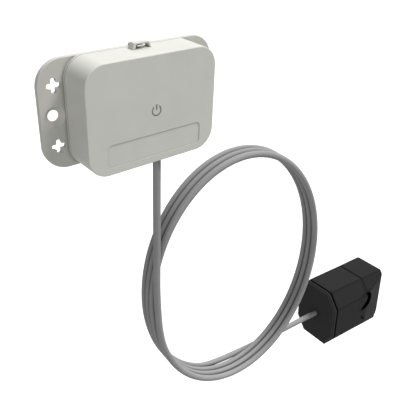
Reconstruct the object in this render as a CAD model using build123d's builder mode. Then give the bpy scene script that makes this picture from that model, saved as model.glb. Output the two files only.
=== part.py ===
"""Wireless current meter: wall case, free lead laid in loops, and split current clamp.

Frame: the origin is the centre of the plate's back face, on the wall. The front of
the case looks along -Y, +Z is up and +X is to the right of someone facing it.
Every depth is measured from the wall towards the front.
"""

import os
from math import cos, pi, radians, sin, tan

from build123d import *

os.makedirs("parts", exist_ok=True)

# Front case
case_width = 69.8
case_height = 51.2
case_depth = 18.0
case_corner = 10.1
case_wall = 1.8
case_edge = 0.7
seam_from_plate = 1.4
seam_width = 0.5
seam_cut = 0.35
label_width = 51.9
label_height = 11.0
label_x = 0.6
label_above_base = 9.15
label_cut = 0.35
label_corner = 1.9

# Wall plate
plate_ear = 12.1
plate_height_less = 0.6
plate_corner = 12.2
plate_thick = 2.4
plate_edge = 0.5
screw_out = 5.1
screw_hole_r = 2.5
screw_sink_r = 4.7
cross_out = 4.7
cross_spacing_z = 27.8
cross_length = 6.4
cross_width = 2.1

# Rim, hooks and seal between plate and case
rim_gap = 0.25
rim_thick = 1.2
rim_high = 2.0
hook_spacing = 40.0
hook_width = 8.0
hook_out = 0.75
hook_depth = 3.2
hook_thick = 1.2
hook_gap = 0.3
seal_width = 1.0
seal_cut = 0.8
seal_slack = 0.05

# Latch tongue in its hood
hood_x = 0.8
hood_base_half = 5.25
hood_top_half = 4.0
hood_open_x = 1.2
hood_open_half = 3.8
hood_open_top_half = 3.1
hood_open_high = 2.0
hood_roof = 0.8
hood_from_plate = 3.3
hood_length = 3.7
tongue_x = 0.4
tongue_width = 2.4
tongue_thick = 0.7
tongue_lift = 0.05
tongue_rise = 1.1
tongue_out = 0.4
tongue_gap = 0.3
tip_x = -0.1
tip_width = 3.4
tip_length = 2.2
bead_r = 0.5
bead_gap = 0.1
bead_below_top = 0.7
bead_from_wall = 0.75
catch_width = 1.5
catch_set_back = 2.8
catch_length = 1.2
catch_above_roof = 0.3
catch_pocket = 0.5

# Power button and its switch
button_x = 0.8
button_z = 0.1
button_r = 2.65
button_gap = 0.1
ring_width = 0.7
ring_gap_half_angle = 38.0
icon_cut = 0.45
icon_bar_width = 0.7
icon_bar_low = 0.16
icon_bar_high = 2.9
flange_out = 0.85
flange_thick = 0.8
stem_r = 1.4
guide_gap = 0.15
guide_wall = 1.15
guide_length = 3.6
switch_size = 6.0
switch_high = 3.5
plunger_r = 1.7
plunger_gap = 0.1
plunger_out = 0.9
plunger_in = 0.2
plunger_pocket = 0.9

# Circuit board
board_off_plate = 2.2
board_thick = 1.0
board_side_gap = 4.4
board_base_gap = 4.1
board_cell_gap = 0.85
board_corner = 5.5
board_screw_in = 4.0
board_screw_top = 3.7
board_screw_base = 5.5
post_r = 2.0
pilot_r = 1.0
pilot_floor = 1.0
screw_gap = 0.05
screw_head_r = 1.6
screw_head_high = 1.0

# Cell and holder
cell_r = 7.25
cell_length = 50.5
cell_nub_r = 2.6
cell_nub_length = 1.0
cell_top_gap = 3.25
cell_front_gap = 0.65
holder_side = 0.35
holder_high = 6.1
holder_end_wall = 1.4
holder_end_high = 12.1
holder_end_half = 4.3
holder_gap = 0.15
contact_room = 2.1
contact_thick = 0.3
spring_wire_r = 0.25
spring_r = 2.5
spring_pitch = 0.65

# Lead and its gland
cord_r = 2.0
cord_x = 4.4
jacket_inside = 2.3
gland_wall = 0.7
gland_flange_out = 0.4
gland_flange_thick = 1.2
gland_boot_high = 1.0
gland_gap = 0.1
gland_clear = 0.05
wire_r = 0.6
wire_half_spacing = 0.9
plug_above_base = 10.6
header_high = 3.4
plug_high = 3.8
plug_floor = 1.0

# Loops of the lead
loop_centre_z = -125.6
loop_half_width = 63.3
loop_half_height = 84.2
loop_lean = -0.047
loop_yaw = -4.73
loop_first_gap = 0.6
loop_gap = 0.44
loop_quarters = 13
lead_first_run = 22.0

# Current clamp, in its own frame: X along its length, Z its height, Y across
clamp_origin = (152.15, -20.1, -199.45)
clamp_along = (0.9969, -0.0783, 0.0)
clamp_up = (0.006, 0.0758, 0.9971)
clamp_half_width = 19.5
clamp_chamfer_y = 8.3
clamp_chamfer_z = 11.0
clamp_wall = 2.0
clamp_cap = 2.5
clamp_half_gap = 0.15
jaw_end_less = 5.9
jaw_end_chamfer_y = 2.6
jaw_end_chamfer_z = 4.0
jaw_low_corner = 11.0
jaw_high_corner = 2.0
bore_r = 9.0
bore_z = 6.0
bore_wall = 1.4
core_gap = 0.4
core_thick = 4.2
core_top_gap = 1.1
core_half_width = 9.0
core_back_x = 14.0
jaw_spring_room = 5.7
shelf_thick = 1.5
shelf_gap = 0.3
knuckle_r = 2.3
knuckle_clear = 0.3
knuckle_half = 3.9
knuckle_side_high = 10.2
pin_r = 1.0
pin_clear = 0.05
bobbin_gap = 0.2
bobbin_wall = 1.0
bobbin_flange = 4.0
bobbin_bore_gap = 3.5
winding_less = 0.6
bobbin_side = 12.5
collar_wall = 2.0
collar_length = 4.0

# Places that follow from the sizes above
case_front_depth = plate_thick + case_depth
case_inner_depth = case_front_depth - case_wall
case_top_z = case_height / 2
seam_depth = plate_thick + seam_from_plate
label_z = -case_top_z + label_above_base
plate_width = case_width + 2 * plate_ear
plate_height = case_height - plate_height_less
screw_spacing = case_width + 2 * screw_out
cross_spacing_x = case_width + 2 * cross_out
hood_roof_z = case_top_z + hood_open_high
hood_top_z = hood_roof_z + hood_roof
hood_back_depth = plate_thick + hood_from_plate
hood_depth = hood_back_depth + hood_length
tongue_low_z = case_top_z + tongue_lift
tongue_tip_z = tongue_low_z + tongue_rise
tongue_depth = hood_depth + tongue_out
bead_z = plate_height / 2 - bead_below_top
bead_depth = bead_from_wall
catch_depth = hood_depth - catch_set_back
catch_pocket_z = hood_roof_z + catch_pocket
ring_inner_r = button_r - ring_width
flange_r = button_r + flange_out
guide_inner_r = flange_r + guide_gap
guide_outer_r = guide_inner_r + guide_wall
guide_depth = case_inner_depth - guide_length
board_depth = plate_thick + board_off_plate
board_front_depth = board_depth + board_thick
switch_front_depth = board_front_depth + switch_high
plunger_front_depth = switch_front_depth + plunger_out
plunger_back_depth = switch_front_depth - plunger_in
pilot_depth = pilot_floor
screw_r = pilot_r - screw_gap
cell_z = case_top_z - case_wall - cell_top_gap - cell_r
cell_depth = case_inner_depth - cell_front_gap - cell_r
holder_half = cell_length / 2 + contact_room + holder_end_wall
holder_low_z = cell_z - cell_r - holder_side
holder_high_z = cell_z + cell_r + holder_side
holder_depth = plate_thick + holder_high
holder_end_depth = plate_thick + holder_end_high
board_width = case_width - 2 * board_side_gap
board_low_z = -case_top_z + board_base_gap
board_high_z = cell_z - cell_r - board_cell_gap
board_screw_x = board_width / 2 - board_screw_in
board_screw_high_z = board_high_z - board_screw_top
board_screw_low_z = board_low_z + board_screw_base
jacket_end_z = -case_top_z + case_wall + jacket_inside
gland_neck_r = cord_r + gland_wall
gland_flange_r = gland_neck_r + gland_flange_out
gland_notch_half = gland_neck_r + gland_gap
gland_boot_low_z = -case_top_z - gland_gap - gland_boot_high
cord_depth = case_inner_depth - gland_flange_r - gland_clear
plug_z = -case_top_z + plug_above_base
plug_floor_depth = board_front_depth + plug_floor
header_front_depth = board_front_depth + header_high
plug_front_depth = plug_floor_depth + plug_high
loop_first_pitch = 2 * cord_r + loop_first_gap
loop_pitch = 2 * cord_r + loop_gap
loop_end_straight = 2 * cord_r
core_inner = bore_r + bore_wall + core_gap
core_outer = core_inner + core_thick
clamp_half_height = bore_z + core_outer + core_top_gap + clamp_wall
clamp_split = core_back_x + core_thick + bobbin_flange + bobbin_bore_gap + bore_r + bore_wall
jaw_core_end_x = clamp_split + core_outer - 0.1
clamp_length = jaw_core_end_x + jaw_spring_room + clamp_wall
jaw_end_half_width = clamp_half_width - jaw_end_less
knuckle_side_low = knuckle_half + knuckle_clear
hinge_z = -(clamp_half_height - knuckle_r)
board_top_z = -clamp_half_height + 10.0
collar_r = cord_r + collar_wall
clamp_plane = Plane(origin=clamp_origin, x_dir=clamp_along, z_dir=clamp_up)
loop_along = Vector(cos(radians(loop_yaw)), sin(radians(loop_yaw)), 0)
loop_across = Vector(-sin(radians(loop_yaw)), cos(radians(loop_yaw)), 0)
loop_start = Vector(cord_x, -cord_depth, loop_centre_z)
loop_centre = loop_start + loop_along * loop_half_width


def finish(made, label, place=None):
    """Name one piece, put it in place and write it out."""
    piece = made.part if place is None else made.part.moved(place)
    piece.label = label
    export_step(piece, f"parts/{label}.step")
    return piece


def at_depth(depth):
    """Return the sketch plane that faces the front, this far from the wall."""
    return Plane.XZ.offset(depth)


def upright_box(x_low, x_high, depth_low, depth_high, z_low, z_high, mode=Mode.ADD):
    """Add or cut a square block between two depths."""
    with BuildSketch(at_depth(depth_low)) as block:
        with Locations(((x_low + x_high) / 2, (z_low + z_high) / 2)):
            Rectangle(x_high - x_low, z_high - z_low)
    extrude(block.sketch, amount=depth_high - depth_low, mode=mode)


def upright_rod(x, z, radius, depth_low, depth_high, mode=Mode.ADD):
    """Add or cut a round rod that points to the front."""
    with BuildSketch(at_depth(depth_low)) as rod:
        with Locations((x, z)):
            Circle(radius)
    extrude(rod.sketch, amount=depth_high - depth_low, mode=mode)


def outline_ring(outer_grow, inner_grow, corner):
    """Sketch a ring that follows the case's outline, grown or shrunk from it."""
    RectangleRounded(case_width + 2 * outer_grow, case_height + 2 * outer_grow, corner + outer_grow)
    RectangleRounded(
        case_width + 2 * inner_grow,
        case_height + 2 * inner_grow,
        corner + inner_grow,
        mode=Mode.SUBTRACT,
    )


def make_back_plate():
    """Make the wall plate with its holes, rim, hooks, posts, latch seat and lead tongue."""
    rim_outer = -(case_wall + rim_gap)
    rim_inner = rim_outer - rim_thick
    rim_bottom_z = -(case_height / 2 + rim_outer)
    with BuildPart() as back_plate:
        with BuildSketch(at_depth(0)):
            RectangleRounded(plate_width, plate_height, plate_corner)
        extrude(amount=plate_thick)
        front_face = back_plate.faces().sort_by(Axis.Y)[0]
        fillet(front_face.outer_wire().edges(), plate_edge)
        with Locations(at_depth(plate_thick)):
            with GridLocations(screw_spacing, 1, 2, 1):
                CounterSinkHole(screw_hole_r, screw_sink_r, depth=2 * plate_thick, counter_sink_angle=90)
        with BuildSketch(at_depth(0)):
            with GridLocations(cross_spacing_x, cross_spacing_z, 2, 2):
                SlotOverall(cross_length, cross_width)
                SlotOverall(cross_length, cross_width, rotation=90)
        extrude(amount=plate_thick, mode=Mode.SUBTRACT)
        # Groove for the seal, under the middle of the case's wall
        with BuildSketch(at_depth(plate_thick)):
            outline_ring(-case_wall / 2 + seal_width / 2, -case_wall / 2 - seal_width / 2, case_corner)
        extrude(amount=-seal_cut, mode=Mode.SUBTRACT)
        # Rim that centres the case, and two hooks on its lower side
        with BuildSketch(at_depth(plate_thick)):
            outline_ring(rim_outer, rim_inner, case_corner)
        extrude(amount=rim_high)
        for side in (-1, 1):
            middle = side * hook_spacing / 2
            upright_box(
                middle - hook_width / 2,
                middle + hook_width / 2,
                hook_depth,
                hook_depth + hook_thick,
                rim_bottom_z - hook_out,
                rim_bottom_z + rim_thick / 2,
            )
        # Posts for the board
        for x in (-board_screw_x, board_screw_x):
            for z in (board_screw_low_z, board_screw_high_z):
                upright_rod(x, z, post_r, plate_thick, board_depth)
                upright_rod(x, z, pilot_r, pilot_depth, board_depth, Mode.SUBTRACT)
        # Tongue that fills the lead's notch in the case, behind the gland
        upright_box(
            cord_x - gland_notch_half + gland_gap,
            cord_x + gland_notch_half - gland_gap,
            plate_thick,
            cord_depth,
            -plate_height / 2,
            -case_top_z + case_wall - 0.15,
        )
        with BuildSketch(Plane.XY.offset(-case_top_z - 1)):
            with Locations((cord_x, -cord_depth)):
                Circle(gland_neck_r + gland_gap)
        extrude(amount=case_wall + 2, mode=Mode.SUBTRACT)
        # Seat of the latch tongue in the top edge, open to the wall
        with BuildSketch(Plane.YZ.offset(tongue_x - tongue_width / 2 - tongue_gap)):
            with Locations((-bead_depth, bead_z)):
                Circle(bead_r + bead_gap)
            with Locations((-bead_depth / 2, bead_z + bead_below_top / 2 + 0.25)):
                Rectangle(bead_depth + tongue_thick + 2 * bead_gap, bead_below_top + 0.5)
        extrude(amount=tongue_width + 2 * tongue_gap, mode=Mode.SUBTRACT)
    return finish(back_plate, "back_plate")


def make_case_front():
    """Make the hollow front case with hood, label recess, button hole and lead notch."""
    top_z = case_top_z
    with BuildPart() as case_front:
        with BuildSketch(at_depth(plate_thick)):
            RectangleRounded(case_width, case_height, case_corner)
        extrude(amount=case_depth)
        fillet(case_front.faces().sort_by(Axis.Y)[0].edges(), case_edge)
        with BuildSketch(at_depth(plate_thick)):
            RectangleRounded(
                case_width - 2 * case_wall, case_height - 2 * case_wall, case_corner - case_wall
            )
        extrude(amount=case_depth - case_wall, mode=Mode.SUBTRACT)
        with BuildSketch(at_depth(seam_depth - seam_width / 2)):
            outline_ring(1, -seam_cut, case_corner)
        extrude(amount=seam_width, mode=Mode.SUBTRACT)
        # Hood over the latch tongue
        with BuildSketch(at_depth(hood_back_depth)):
            with BuildLine():
                Polyline(
                    (hood_x - hood_base_half, top_z - 0.5),
                    (hood_x + hood_base_half, top_z - 0.5),
                    (hood_x + hood_base_half, top_z),
                    (hood_x + hood_top_half, hood_top_z),
                    (hood_x - hood_top_half, hood_top_z),
                    (hood_x - hood_base_half, top_z),
                    close=True,
                )
            make_face()
        extrude(amount=hood_length)
        with BuildSketch(at_depth(hood_back_depth)):
            with BuildLine():
                Polyline(
                    (hood_open_x - hood_open_half, top_z),
                    (hood_open_x + hood_open_half, top_z),
                    (hood_open_x + hood_open_top_half, hood_roof_z),
                    (hood_open_x - hood_open_top_half, hood_roof_z),
                    close=True,
                )
            make_face()
        extrude(amount=hood_length, mode=Mode.SUBTRACT)
        upright_box(
            tongue_x - catch_width / 2 - hook_gap,
            tongue_x + catch_width / 2 + hook_gap,
            catch_depth - hook_gap,
            catch_depth + catch_length + hook_gap,
            hood_roof_z - 0.1,
            catch_pocket_z,
            Mode.SUBTRACT,
        )
        # Label recess, left bare
        with BuildSketch(at_depth(case_front_depth)):
            with Locations((label_x, label_z)):
                RectangleRounded(label_width, label_height, label_corner)
        extrude(amount=-label_cut, mode=Mode.SUBTRACT)
        # Tube that guides the button, the button's hole and the icon's bar
        upright_rod(button_x, button_z, guide_outer_r, guide_depth, case_inner_depth + 0.2)
        upright_rod(button_x, button_z, guide_inner_r, guide_depth, case_inner_depth, Mode.SUBTRACT)
        upright_rod(
            button_x,
            button_z,
            button_r + button_gap,
            case_inner_depth - 0.1,
            case_front_depth + 0.1,
            Mode.SUBTRACT,
        )
        upright_box(
            button_x - icon_bar_width / 2,
            button_x + icon_bar_width / 2,
            case_front_depth - icon_cut,
            case_front_depth + 0.1,
            button_z + ring_inner_r,
            button_z + icon_bar_high,
            Mode.SUBTRACT,
        )
        # Notch for the lead, open at the back
        with BuildSketch(Plane.XY.offset(-top_z - 0.5)):
            with Locations((cord_x, -cord_depth)):
                Circle(gland_notch_half)
            with Locations((cord_x, -cord_depth / 2)):
                Rectangle(2 * gland_notch_half, cord_depth)
        extrude(amount=case_wall + 1, mode=Mode.SUBTRACT)
        # Pockets for the plate's hooks
        hook_tip_z = -(top_z - case_wall - rim_gap + hook_out)
        for side in (-1, 1):
            middle = side * hook_spacing / 2
            upright_box(
                middle - hook_width / 2 - hook_gap,
                middle + hook_width / 2 + hook_gap,
                hook_depth - hook_gap,
                hook_depth + hook_thick + hook_gap,
                hook_tip_z - hook_gap,
                -top_z + case_wall + 0.5,
                Mode.SUBTRACT,
            )
    return finish(case_front, "case_front")


def make_seal_ring():
    """Make the soft ring in the plate's groove, just touching the case."""
    half = seal_width / 2 - seal_slack
    with BuildPart() as seal_ring:
        with BuildSketch(at_depth(plate_thick - seal_cut)):
            outline_ring(-case_wall / 2 + half, -case_wall / 2 - half, case_corner)
        extrude(amount=seal_cut)
    return finish(seal_ring, "seal_ring")


def make_latch_tongue():
    """Make the tongue: a bead in the plate's seat, a rising arm, a wide tip and a catch."""
    neck_back = -bead_depth + tongue_thick / 2
    neck_front = -bead_depth - tongue_thick / 2
    with BuildPart() as latch_tongue:
        with BuildSketch(Plane.YZ.offset(tongue_x - tongue_width / 2)):
            with Locations((-bead_depth, bead_z)):
                Circle(bead_r)
            with BuildLine():
                Polyline(
                    (neck_back, bead_z),
                    (neck_back, tongue_low_z + tongue_thick),
                    (-tongue_depth, tongue_tip_z + tongue_thick),
                    (-tongue_depth, tongue_tip_z),
                    (neck_front, tongue_low_z),
                    (neck_front, bead_z),
                    close=True,
                )
            make_face()
        extrude(amount=tongue_width)
        tip_share = (tongue_depth - bead_depth - tip_length) / (tongue_depth - bead_depth)
        tip_back_z = tongue_low_z + tongue_rise * tip_share
        with BuildSketch(Plane.YZ.offset(tip_x - tip_width / 2)):
            with BuildLine():
                Polyline(
                    (-tongue_depth + tip_length, tip_back_z),
                    (-tongue_depth + tip_length, tip_back_z + tongue_thick),
                    (-tongue_depth, tongue_tip_z + tongue_thick),
                    (-tongue_depth, tongue_tip_z),
                    close=True,
                )
            make_face()
        extrude(amount=tip_width)
        upright_box(
            tongue_x - catch_width / 2,
            tongue_x + catch_width / 2,
            catch_depth,
            catch_depth + catch_length,
            tip_back_z,
            hood_roof_z + catch_above_roof,
        )
    return finish(latch_tongue, "latch_tongue")


def make_power_button():
    """Make the button: cap with the icon cut in it, flange and stem."""
    flange_front = case_inner_depth - button_gap
    with BuildPart() as power_button:
        upright_rod(button_x, button_z, button_r, flange_front - flange_thick, case_front_depth)
        upright_rod(button_x, button_z, flange_r, flange_front - flange_thick, flange_front)
        upright_rod(
            button_x, button_z, stem_r, plunger_front_depth, flange_front - flange_thick
        )
        # The icon's ring, open at the top, reaches the edge of the cap
        with BuildSketch(at_depth(case_front_depth - icon_cut)):
            with Locations((button_x, button_z)):
                Circle(button_r + 0.05)
                Circle(ring_inner_r, mode=Mode.SUBTRACT)
            reach = 2 * button_r
            side = reach * tan(radians(ring_gap_half_angle))
            with BuildLine():
                Polyline(
                    (button_x, button_z),
                    (button_x + side, button_z + reach),
                    (button_x - side, button_z + reach),
                    close=True,
                )
            make_face(mode=Mode.SUBTRACT)
        extrude(amount=icon_cut + 0.1, mode=Mode.SUBTRACT)
        upright_box(
            button_x - icon_bar_width / 2,
            button_x + icon_bar_width / 2,
            case_front_depth - icon_cut,
            case_front_depth + 0.1,
            button_z + icon_bar_low,
            button_z + icon_bar_high,
            Mode.SUBTRACT,
        )
    return finish(power_button, "power_button")


def make_tact_switch():
    """Make the switch body on the board, open for its plunger."""
    half = switch_size / 2
    with BuildPart() as tact_switch:
        upright_box(
            button_x - half,
            button_x + half,
            board_front_depth,
            switch_front_depth,
            button_z - half,
            button_z + half,
        )
        fillet(tact_switch.edges().filter_by(Axis.Y), 0.5)
        upright_rod(
            button_x,
            button_z,
            plunger_r + plunger_gap,
            switch_front_depth - plunger_pocket,
            switch_front_depth,
            Mode.SUBTRACT,
        )
    return finish(tact_switch, "tact_switch")


def make_switch_plunger():
    """Make the plunger that the button's stem presses."""
    with BuildPart() as switch_plunger:
        upright_rod(button_x, button_z, plunger_r, plunger_back_depth, plunger_front_depth)
    return finish(switch_plunger, "switch_plunger")


def make_circuit_board():
    """Make the board with its four screw holes."""
    middle_z = (board_low_z + board_high_z) / 2
    with BuildPart() as circuit_board:
        with BuildSketch(at_depth(board_depth)):
            with Locations((0, middle_z)):
                RectangleRounded(board_width, board_high_z - board_low_z, board_corner)
            for x in (-board_screw_x, board_screw_x):
                for z in (board_screw_low_z, board_screw_high_z):
                    with Locations((x, z)):
                        Circle(pilot_r, mode=Mode.SUBTRACT)
        extrude(amount=board_thick)
    return finish(circuit_board, "circuit_board")


def make_board_screws():
    """Make the four screws that hold the board on its posts."""
    with BuildPart() as board_screws:
        for x in (-board_screw_x, board_screw_x):
            for z in (board_screw_low_z, board_screw_high_z):
                upright_rod(x, z, screw_r, pilot_depth + 0.4, board_front_depth)
                upright_rod(x, z, screw_head_r, board_front_depth, board_front_depth + screw_head_high)
                upright_box(
                    x - screw_head_r,
                    x + screw_head_r,
                    board_front_depth + 0.6 * screw_head_high,
                    board_front_depth + screw_head_high,
                    z - 0.2,
                    z + 0.2,
                    Mode.SUBTRACT,
                )
    return finish(board_screws, "board_screws")


def make_board_block(label, x_low, x_high, z_low, z_high, high, rounding):
    """Make one part that stands on the board, with rounded front edges."""
    with BuildPart() as block:
        upright_box(x_low, x_high, board_front_depth, board_front_depth + high, z_low, z_high)
        fillet(block.faces().sort_by(Axis.Y)[0].edges(), rounding)
    return finish(block, label)


def make_board_chips():
    """Make the flat chips on the board."""
    with BuildPart() as board_chips:
        for x, z, width, high in ((-12, -8, 7, 1.0), (-21.5, -10, 5, 0.9), (-6, -17, 4, 0.8)):
            upright_box(
                x - width / 2,
                x + width / 2,
                board_front_depth,
                board_front_depth + high,
                z - width / 2,
                z + width / 2,
            )
    return finish(board_chips, "board_chips")


def make_board_capacitors():
    """Make the two upright capacitors on the board."""
    with BuildPart() as board_capacitors:
        for x, z, radius, high in ((-19.5, -1.5, 3.1, 5.4), (-12.5, 0.5, 2.5, 4.6)):
            upright_rod(x, z, radius + 0.3, board_front_depth, board_front_depth + 0.8)
            upright_rod(x, z, radius, board_front_depth + 0.8, board_front_depth + high)
    return finish(board_capacitors, "board_capacitors")


def make_cell_holder():
    """Make the cradle under the cell, with an upright wall at each end."""
    inner_half = holder_half - holder_end_wall
    with BuildPart() as cell_holder:
        upright_box(-holder_half, holder_half, plate_thick, holder_depth, holder_low_z, holder_high_z)
        fillet(cell_holder.edges().filter_by(Axis.Y), 2.0)
        for side in (-1, 1):
            edges = sorted((side * inner_half, side * holder_half))
            upright_box(
                edges[0],
                edges[1],
                plate_thick + 1,
                holder_end_depth,
                cell_z - holder_end_half,
                cell_z + holder_end_half,
            )
        with BuildSketch(Plane.YZ.offset(-inner_half)):
            with Locations((-cell_depth, cell_z)):
                Circle(cell_r + holder_gap)
        extrude(amount=2 * inner_half, mode=Mode.SUBTRACT)
    return finish(cell_holder, "cell_holder")


def make_battery_cell():
    """Make the round cell with its nub at the right end."""
    half = cell_length / 2
    with BuildPart() as battery_cell:
        with BuildSketch(Plane.YZ.offset(-half)):
            with Locations((-cell_depth, cell_z)):
                Circle(cell_r)
        extrude(amount=cell_length - cell_nub_length)
        fillet(battery_cell.edges().filter_by(GeomType.CIRCLE), 0.6)
        with BuildSketch(Plane.YZ.offset(half - cell_nub_length - 0.1)):
            with Locations((-cell_depth, cell_z)):
                Circle(cell_nub_r)
        extrude(amount=cell_nub_length + 0.1)
    return finish(battery_cell, "battery_cell")


def make_cell_spring():
    """Make the spring at the left end: a small plate and a wound wire."""
    wall_x = -(holder_half - holder_end_wall)
    room = -cell_length / 2 - wall_x - contact_thick
    wound_high = room - 2 * spring_wire_r + 0.1
    start_x = wall_x + contact_thick + spring_wire_r - 0.1
    with BuildPart() as cell_spring:
        with BuildSketch(Plane.YZ.offset(wall_x)):
            with Locations((-cell_depth, cell_z)):
                Rectangle(7, 8)
        extrude(amount=contact_thick)
        with BuildLine() as coil_line:
            Helix(
                pitch=spring_pitch,
                height=wound_high,
                radius=spring_r,
                center=(start_x, -cell_depth, cell_z),
                direction=(1, 0, 0),
            )
        with BuildSketch(Plane(coil_line.line @ 0, z_dir=coil_line.line % 0)):
            Circle(spring_wire_r)
        sweep(path=coil_line.line, is_frenet=True)
    return finish(cell_spring, "cell_spring")


def make_cell_contact():
    """Make the flat contact with its round boss at the right end."""
    wall_x = holder_half - holder_end_wall
    with BuildPart() as cell_contact:
        with BuildSketch(Plane.YZ.offset(wall_x - contact_thick)):
            with Locations((-cell_depth, cell_z)):
                Rectangle(7, 8)
        extrude(amount=contact_thick)
        with BuildSketch(Plane.YZ.offset(cell_length / 2)):
            with Locations((-cell_depth, cell_z)):
                Circle(2.0)
        extrude(amount=wall_x - contact_thick - cell_length / 2)
    return finish(cell_contact, "cell_contact")


def make_lead_header():
    """Make the open header on the board for the lead's plug."""
    with BuildPart() as lead_header:
        upright_box(
            cord_x - 3.2, cord_x + 3.2, board_front_depth, header_front_depth, plug_z - 3.0, plug_z + 3.0
        )
        upright_box(
            cord_x - 2.4,
            cord_x + 2.4,
            plug_floor_depth,
            header_front_depth,
            plug_z - 2.2,
            plug_z + 2.2,
            Mode.SUBTRACT,
        )
    return finish(lead_header, "lead_header")


def make_lead_plug():
    """Make the plug that stands in the header."""
    with BuildPart() as lead_plug:
        upright_box(
            cord_x - 2.3, cord_x + 2.3, plug_floor_depth, plug_front_depth, plug_z - 2.1, plug_z + 2.1
        )
    return finish(lead_plug, "lead_plug")


def make_lead_wires():
    """Make the two wires from the lead's jacket to the plug."""
    with BuildPart() as lead_wires:
        for side in (-1, 1):
            x = cord_x + side * wire_half_spacing
            with BuildLine() as wire_line:
                FilletPolyline(
                    (x, -cord_depth, jacket_end_z),
                    (x, -cord_depth, plug_z),
                    (x, -plug_front_depth, plug_z),
                    radius=2.2,
                )
            with BuildSketch(Plane(wire_line.line @ 0, z_dir=wire_line.line % 0)):
                Circle(wire_r)
            sweep(path=wire_line.line)
    return finish(lead_wires, "lead_wires")


def make_cord_gland():
    """Make the gland: inner flange, neck in the notch and a short outer boot."""
    inner_z = -case_top_z + case_wall + gland_gap
    outer_z = -case_top_z - gland_gap
    with BuildPart() as cord_gland:
        with BuildSketch(Plane.XY.offset(inner_z)):
            with Locations((cord_x, -cord_depth)):
                Circle(gland_flange_r)
        extrude(amount=gland_flange_thick)
        with BuildSketch(Plane.XY.offset(outer_z)):
            with Locations((cord_x, -cord_depth)):
                Circle(gland_neck_r)
        extrude(amount=inner_z - outer_z)
        with BuildSketch(Plane.XY.offset(gland_boot_low_z)):
            with Locations((cord_x, -cord_depth)):
                Circle(gland_flange_r)
        extrude(amount=outer_z - gland_boot_low_z)
        with BuildSketch(Plane.XY.offset(gland_boot_low_z - 1)):
            with Locations((cord_x, -cord_depth)):
                Circle(cord_r + gland_clear)
        extrude(amount=10, mode=Mode.SUBTRACT)
    return finish(cord_gland, "cord_gland")


def make_cord_drop():
    """Make the lead's straight drop from inside the case to the loops."""
    low_z = loop_centre_z + loop_end_straight
    with BuildPart() as cord_drop:
        with BuildSketch(Plane.XY.offset(low_z)):
            with Locations((cord_x, -cord_depth)):
                Circle(cord_r)
        extrude(amount=jacket_end_z - low_z)
    return finish(cord_drop, "cord_drop")


def loop_point(turn):
    """Return the loops' centre line after this many turns from the drop."""
    angle = pi + 2 * pi * turn
    width = loop_half_width * cos(angle) + loop_lean * loop_half_height * sin(angle)
    forward = loop_first_pitch * min(turn, 1) + loop_pitch * max(turn - 1, 0)
    return (
        loop_centre
        + loop_along * width
        + loop_across * forward
        + Vector(0, 0, loop_half_height * sin(angle))
    )


def loop_way(turn):
    """Return the loops' direction there, level at the end and plumb at the start."""
    angle = pi + 2 * pi * turn
    width = -loop_half_width * sin(angle) + loop_lean * loop_half_height * cos(angle)
    climb = loop_pitch / (2 * pi)
    way = loop_along * width + loop_across * climb + Vector(0, 0, loop_half_height * cos(angle))
    return way.normalized()


def twin_arcs(start, start_way, end, end_way):
    """Join two points by two arcs that keep both end directions."""
    across = end - start
    square = 2 * (start_way.dot(end_way) - 1)
    linear = -2 * across.dot(start_way + end_way)
    constant = across.dot(across)
    reach = (-linear - (linear * linear - 4 * square * constant) ** 0.5) / (2 * square)
    if reach < 0:
        reach = (-linear + (linear * linear - 4 * square * constant) ** 0.5) / (2 * square)
    first = start + start_way * reach
    second = end - end_way * reach
    middle = (first + second) * 0.5
    TangentArc(start, middle, tangent=start_way)
    TangentArc(middle, end, tangent=(second - first).normalized())


def loop_ends():
    """Return the start and end points of the loops with their directions."""
    return (
        (loop_point(0), Vector(0, 0, -1)),
        (loop_point(loop_quarters / 4), loop_along),
    )


def make_cord_coil():
    """Make the loops of the lead as one unbroken tube."""
    (start, start_way), (end, end_way) = loop_ends()
    with BuildPart() as cord_coil:
        with BuildLine() as coil_line:
            Line(start - start_way * loop_end_straight, start)
            for quarter in range(loop_quarters):
                low = start_way if quarter == 0 else loop_way(quarter / 4)
                last = quarter == loop_quarters - 1
                high = end_way if last else loop_way((quarter + 1) / 4)
                twin_arcs(loop_point(quarter / 4), low, loop_point((quarter + 1) / 4), high)
            Line(end, end + end_way * loop_end_straight)
        with BuildSketch(Plane(start - start_way * loop_end_straight, z_dir=start_way)):
            Circle(cord_r)
        sweep(path=coil_line.line)
    report_tube("cord_coil", coil_line.wire(), cord_coil.part)
    report_self_gap(coil_line.wire())
    return finish(cord_coil, "cord_coil")


def clamp_point(x):
    """Return the point on the clamp's long axis this far from its end face."""
    return clamp_plane.from_local_coords(Vector(x, 0, 0))


def make_cord_lead():
    """Make the last stretch of the lead, from the loops into the clamp's collar."""
    start, start_way = loop_ends()[1]
    start = start + start_way * loop_end_straight
    points = [
        start,
        start + start_way * lead_first_run,
        clamp_point(-16.0),
        clamp_point(clamp_cap + collar_length - 0.5),
    ]
    radii = []
    for before, corner, after in zip(points, points[1:], points[2:]):
        turn = radians((corner - before).get_angle(after - corner))
        shorter = min((corner - before).length, (after - corner).length)
        radii.append(0.45 * shorter / tan(turn / 2))
    print("cord_lead runs", [round((b - a).length, 1) for a, b in zip(points, points[1:])])
    print("cord_lead radii", [round(radius, 1) for radius in radii])
    with BuildPart() as cord_lead:
        with BuildLine() as lead_line:
            FilletPolyline(*points, radius=radii)
        with BuildSketch(Plane(lead_line.line @ 0, z_dir=lead_line.line % 0)):
            Circle(cord_r)
        sweep(path=lead_line.line)
    report_tube("cord_lead", lead_line.wire(), cord_lead.part)
    return finish(cord_lead, "cord_lead")


def report_tube(label, line, part):
    """Print a tube's volume beside its section times its length."""
    length = line.length
    ratio = part.volume / (pi * cord_r**2 * length)
    print(label, "length", round(length, 1), "volume over section times length", round(ratio, 5))


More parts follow.
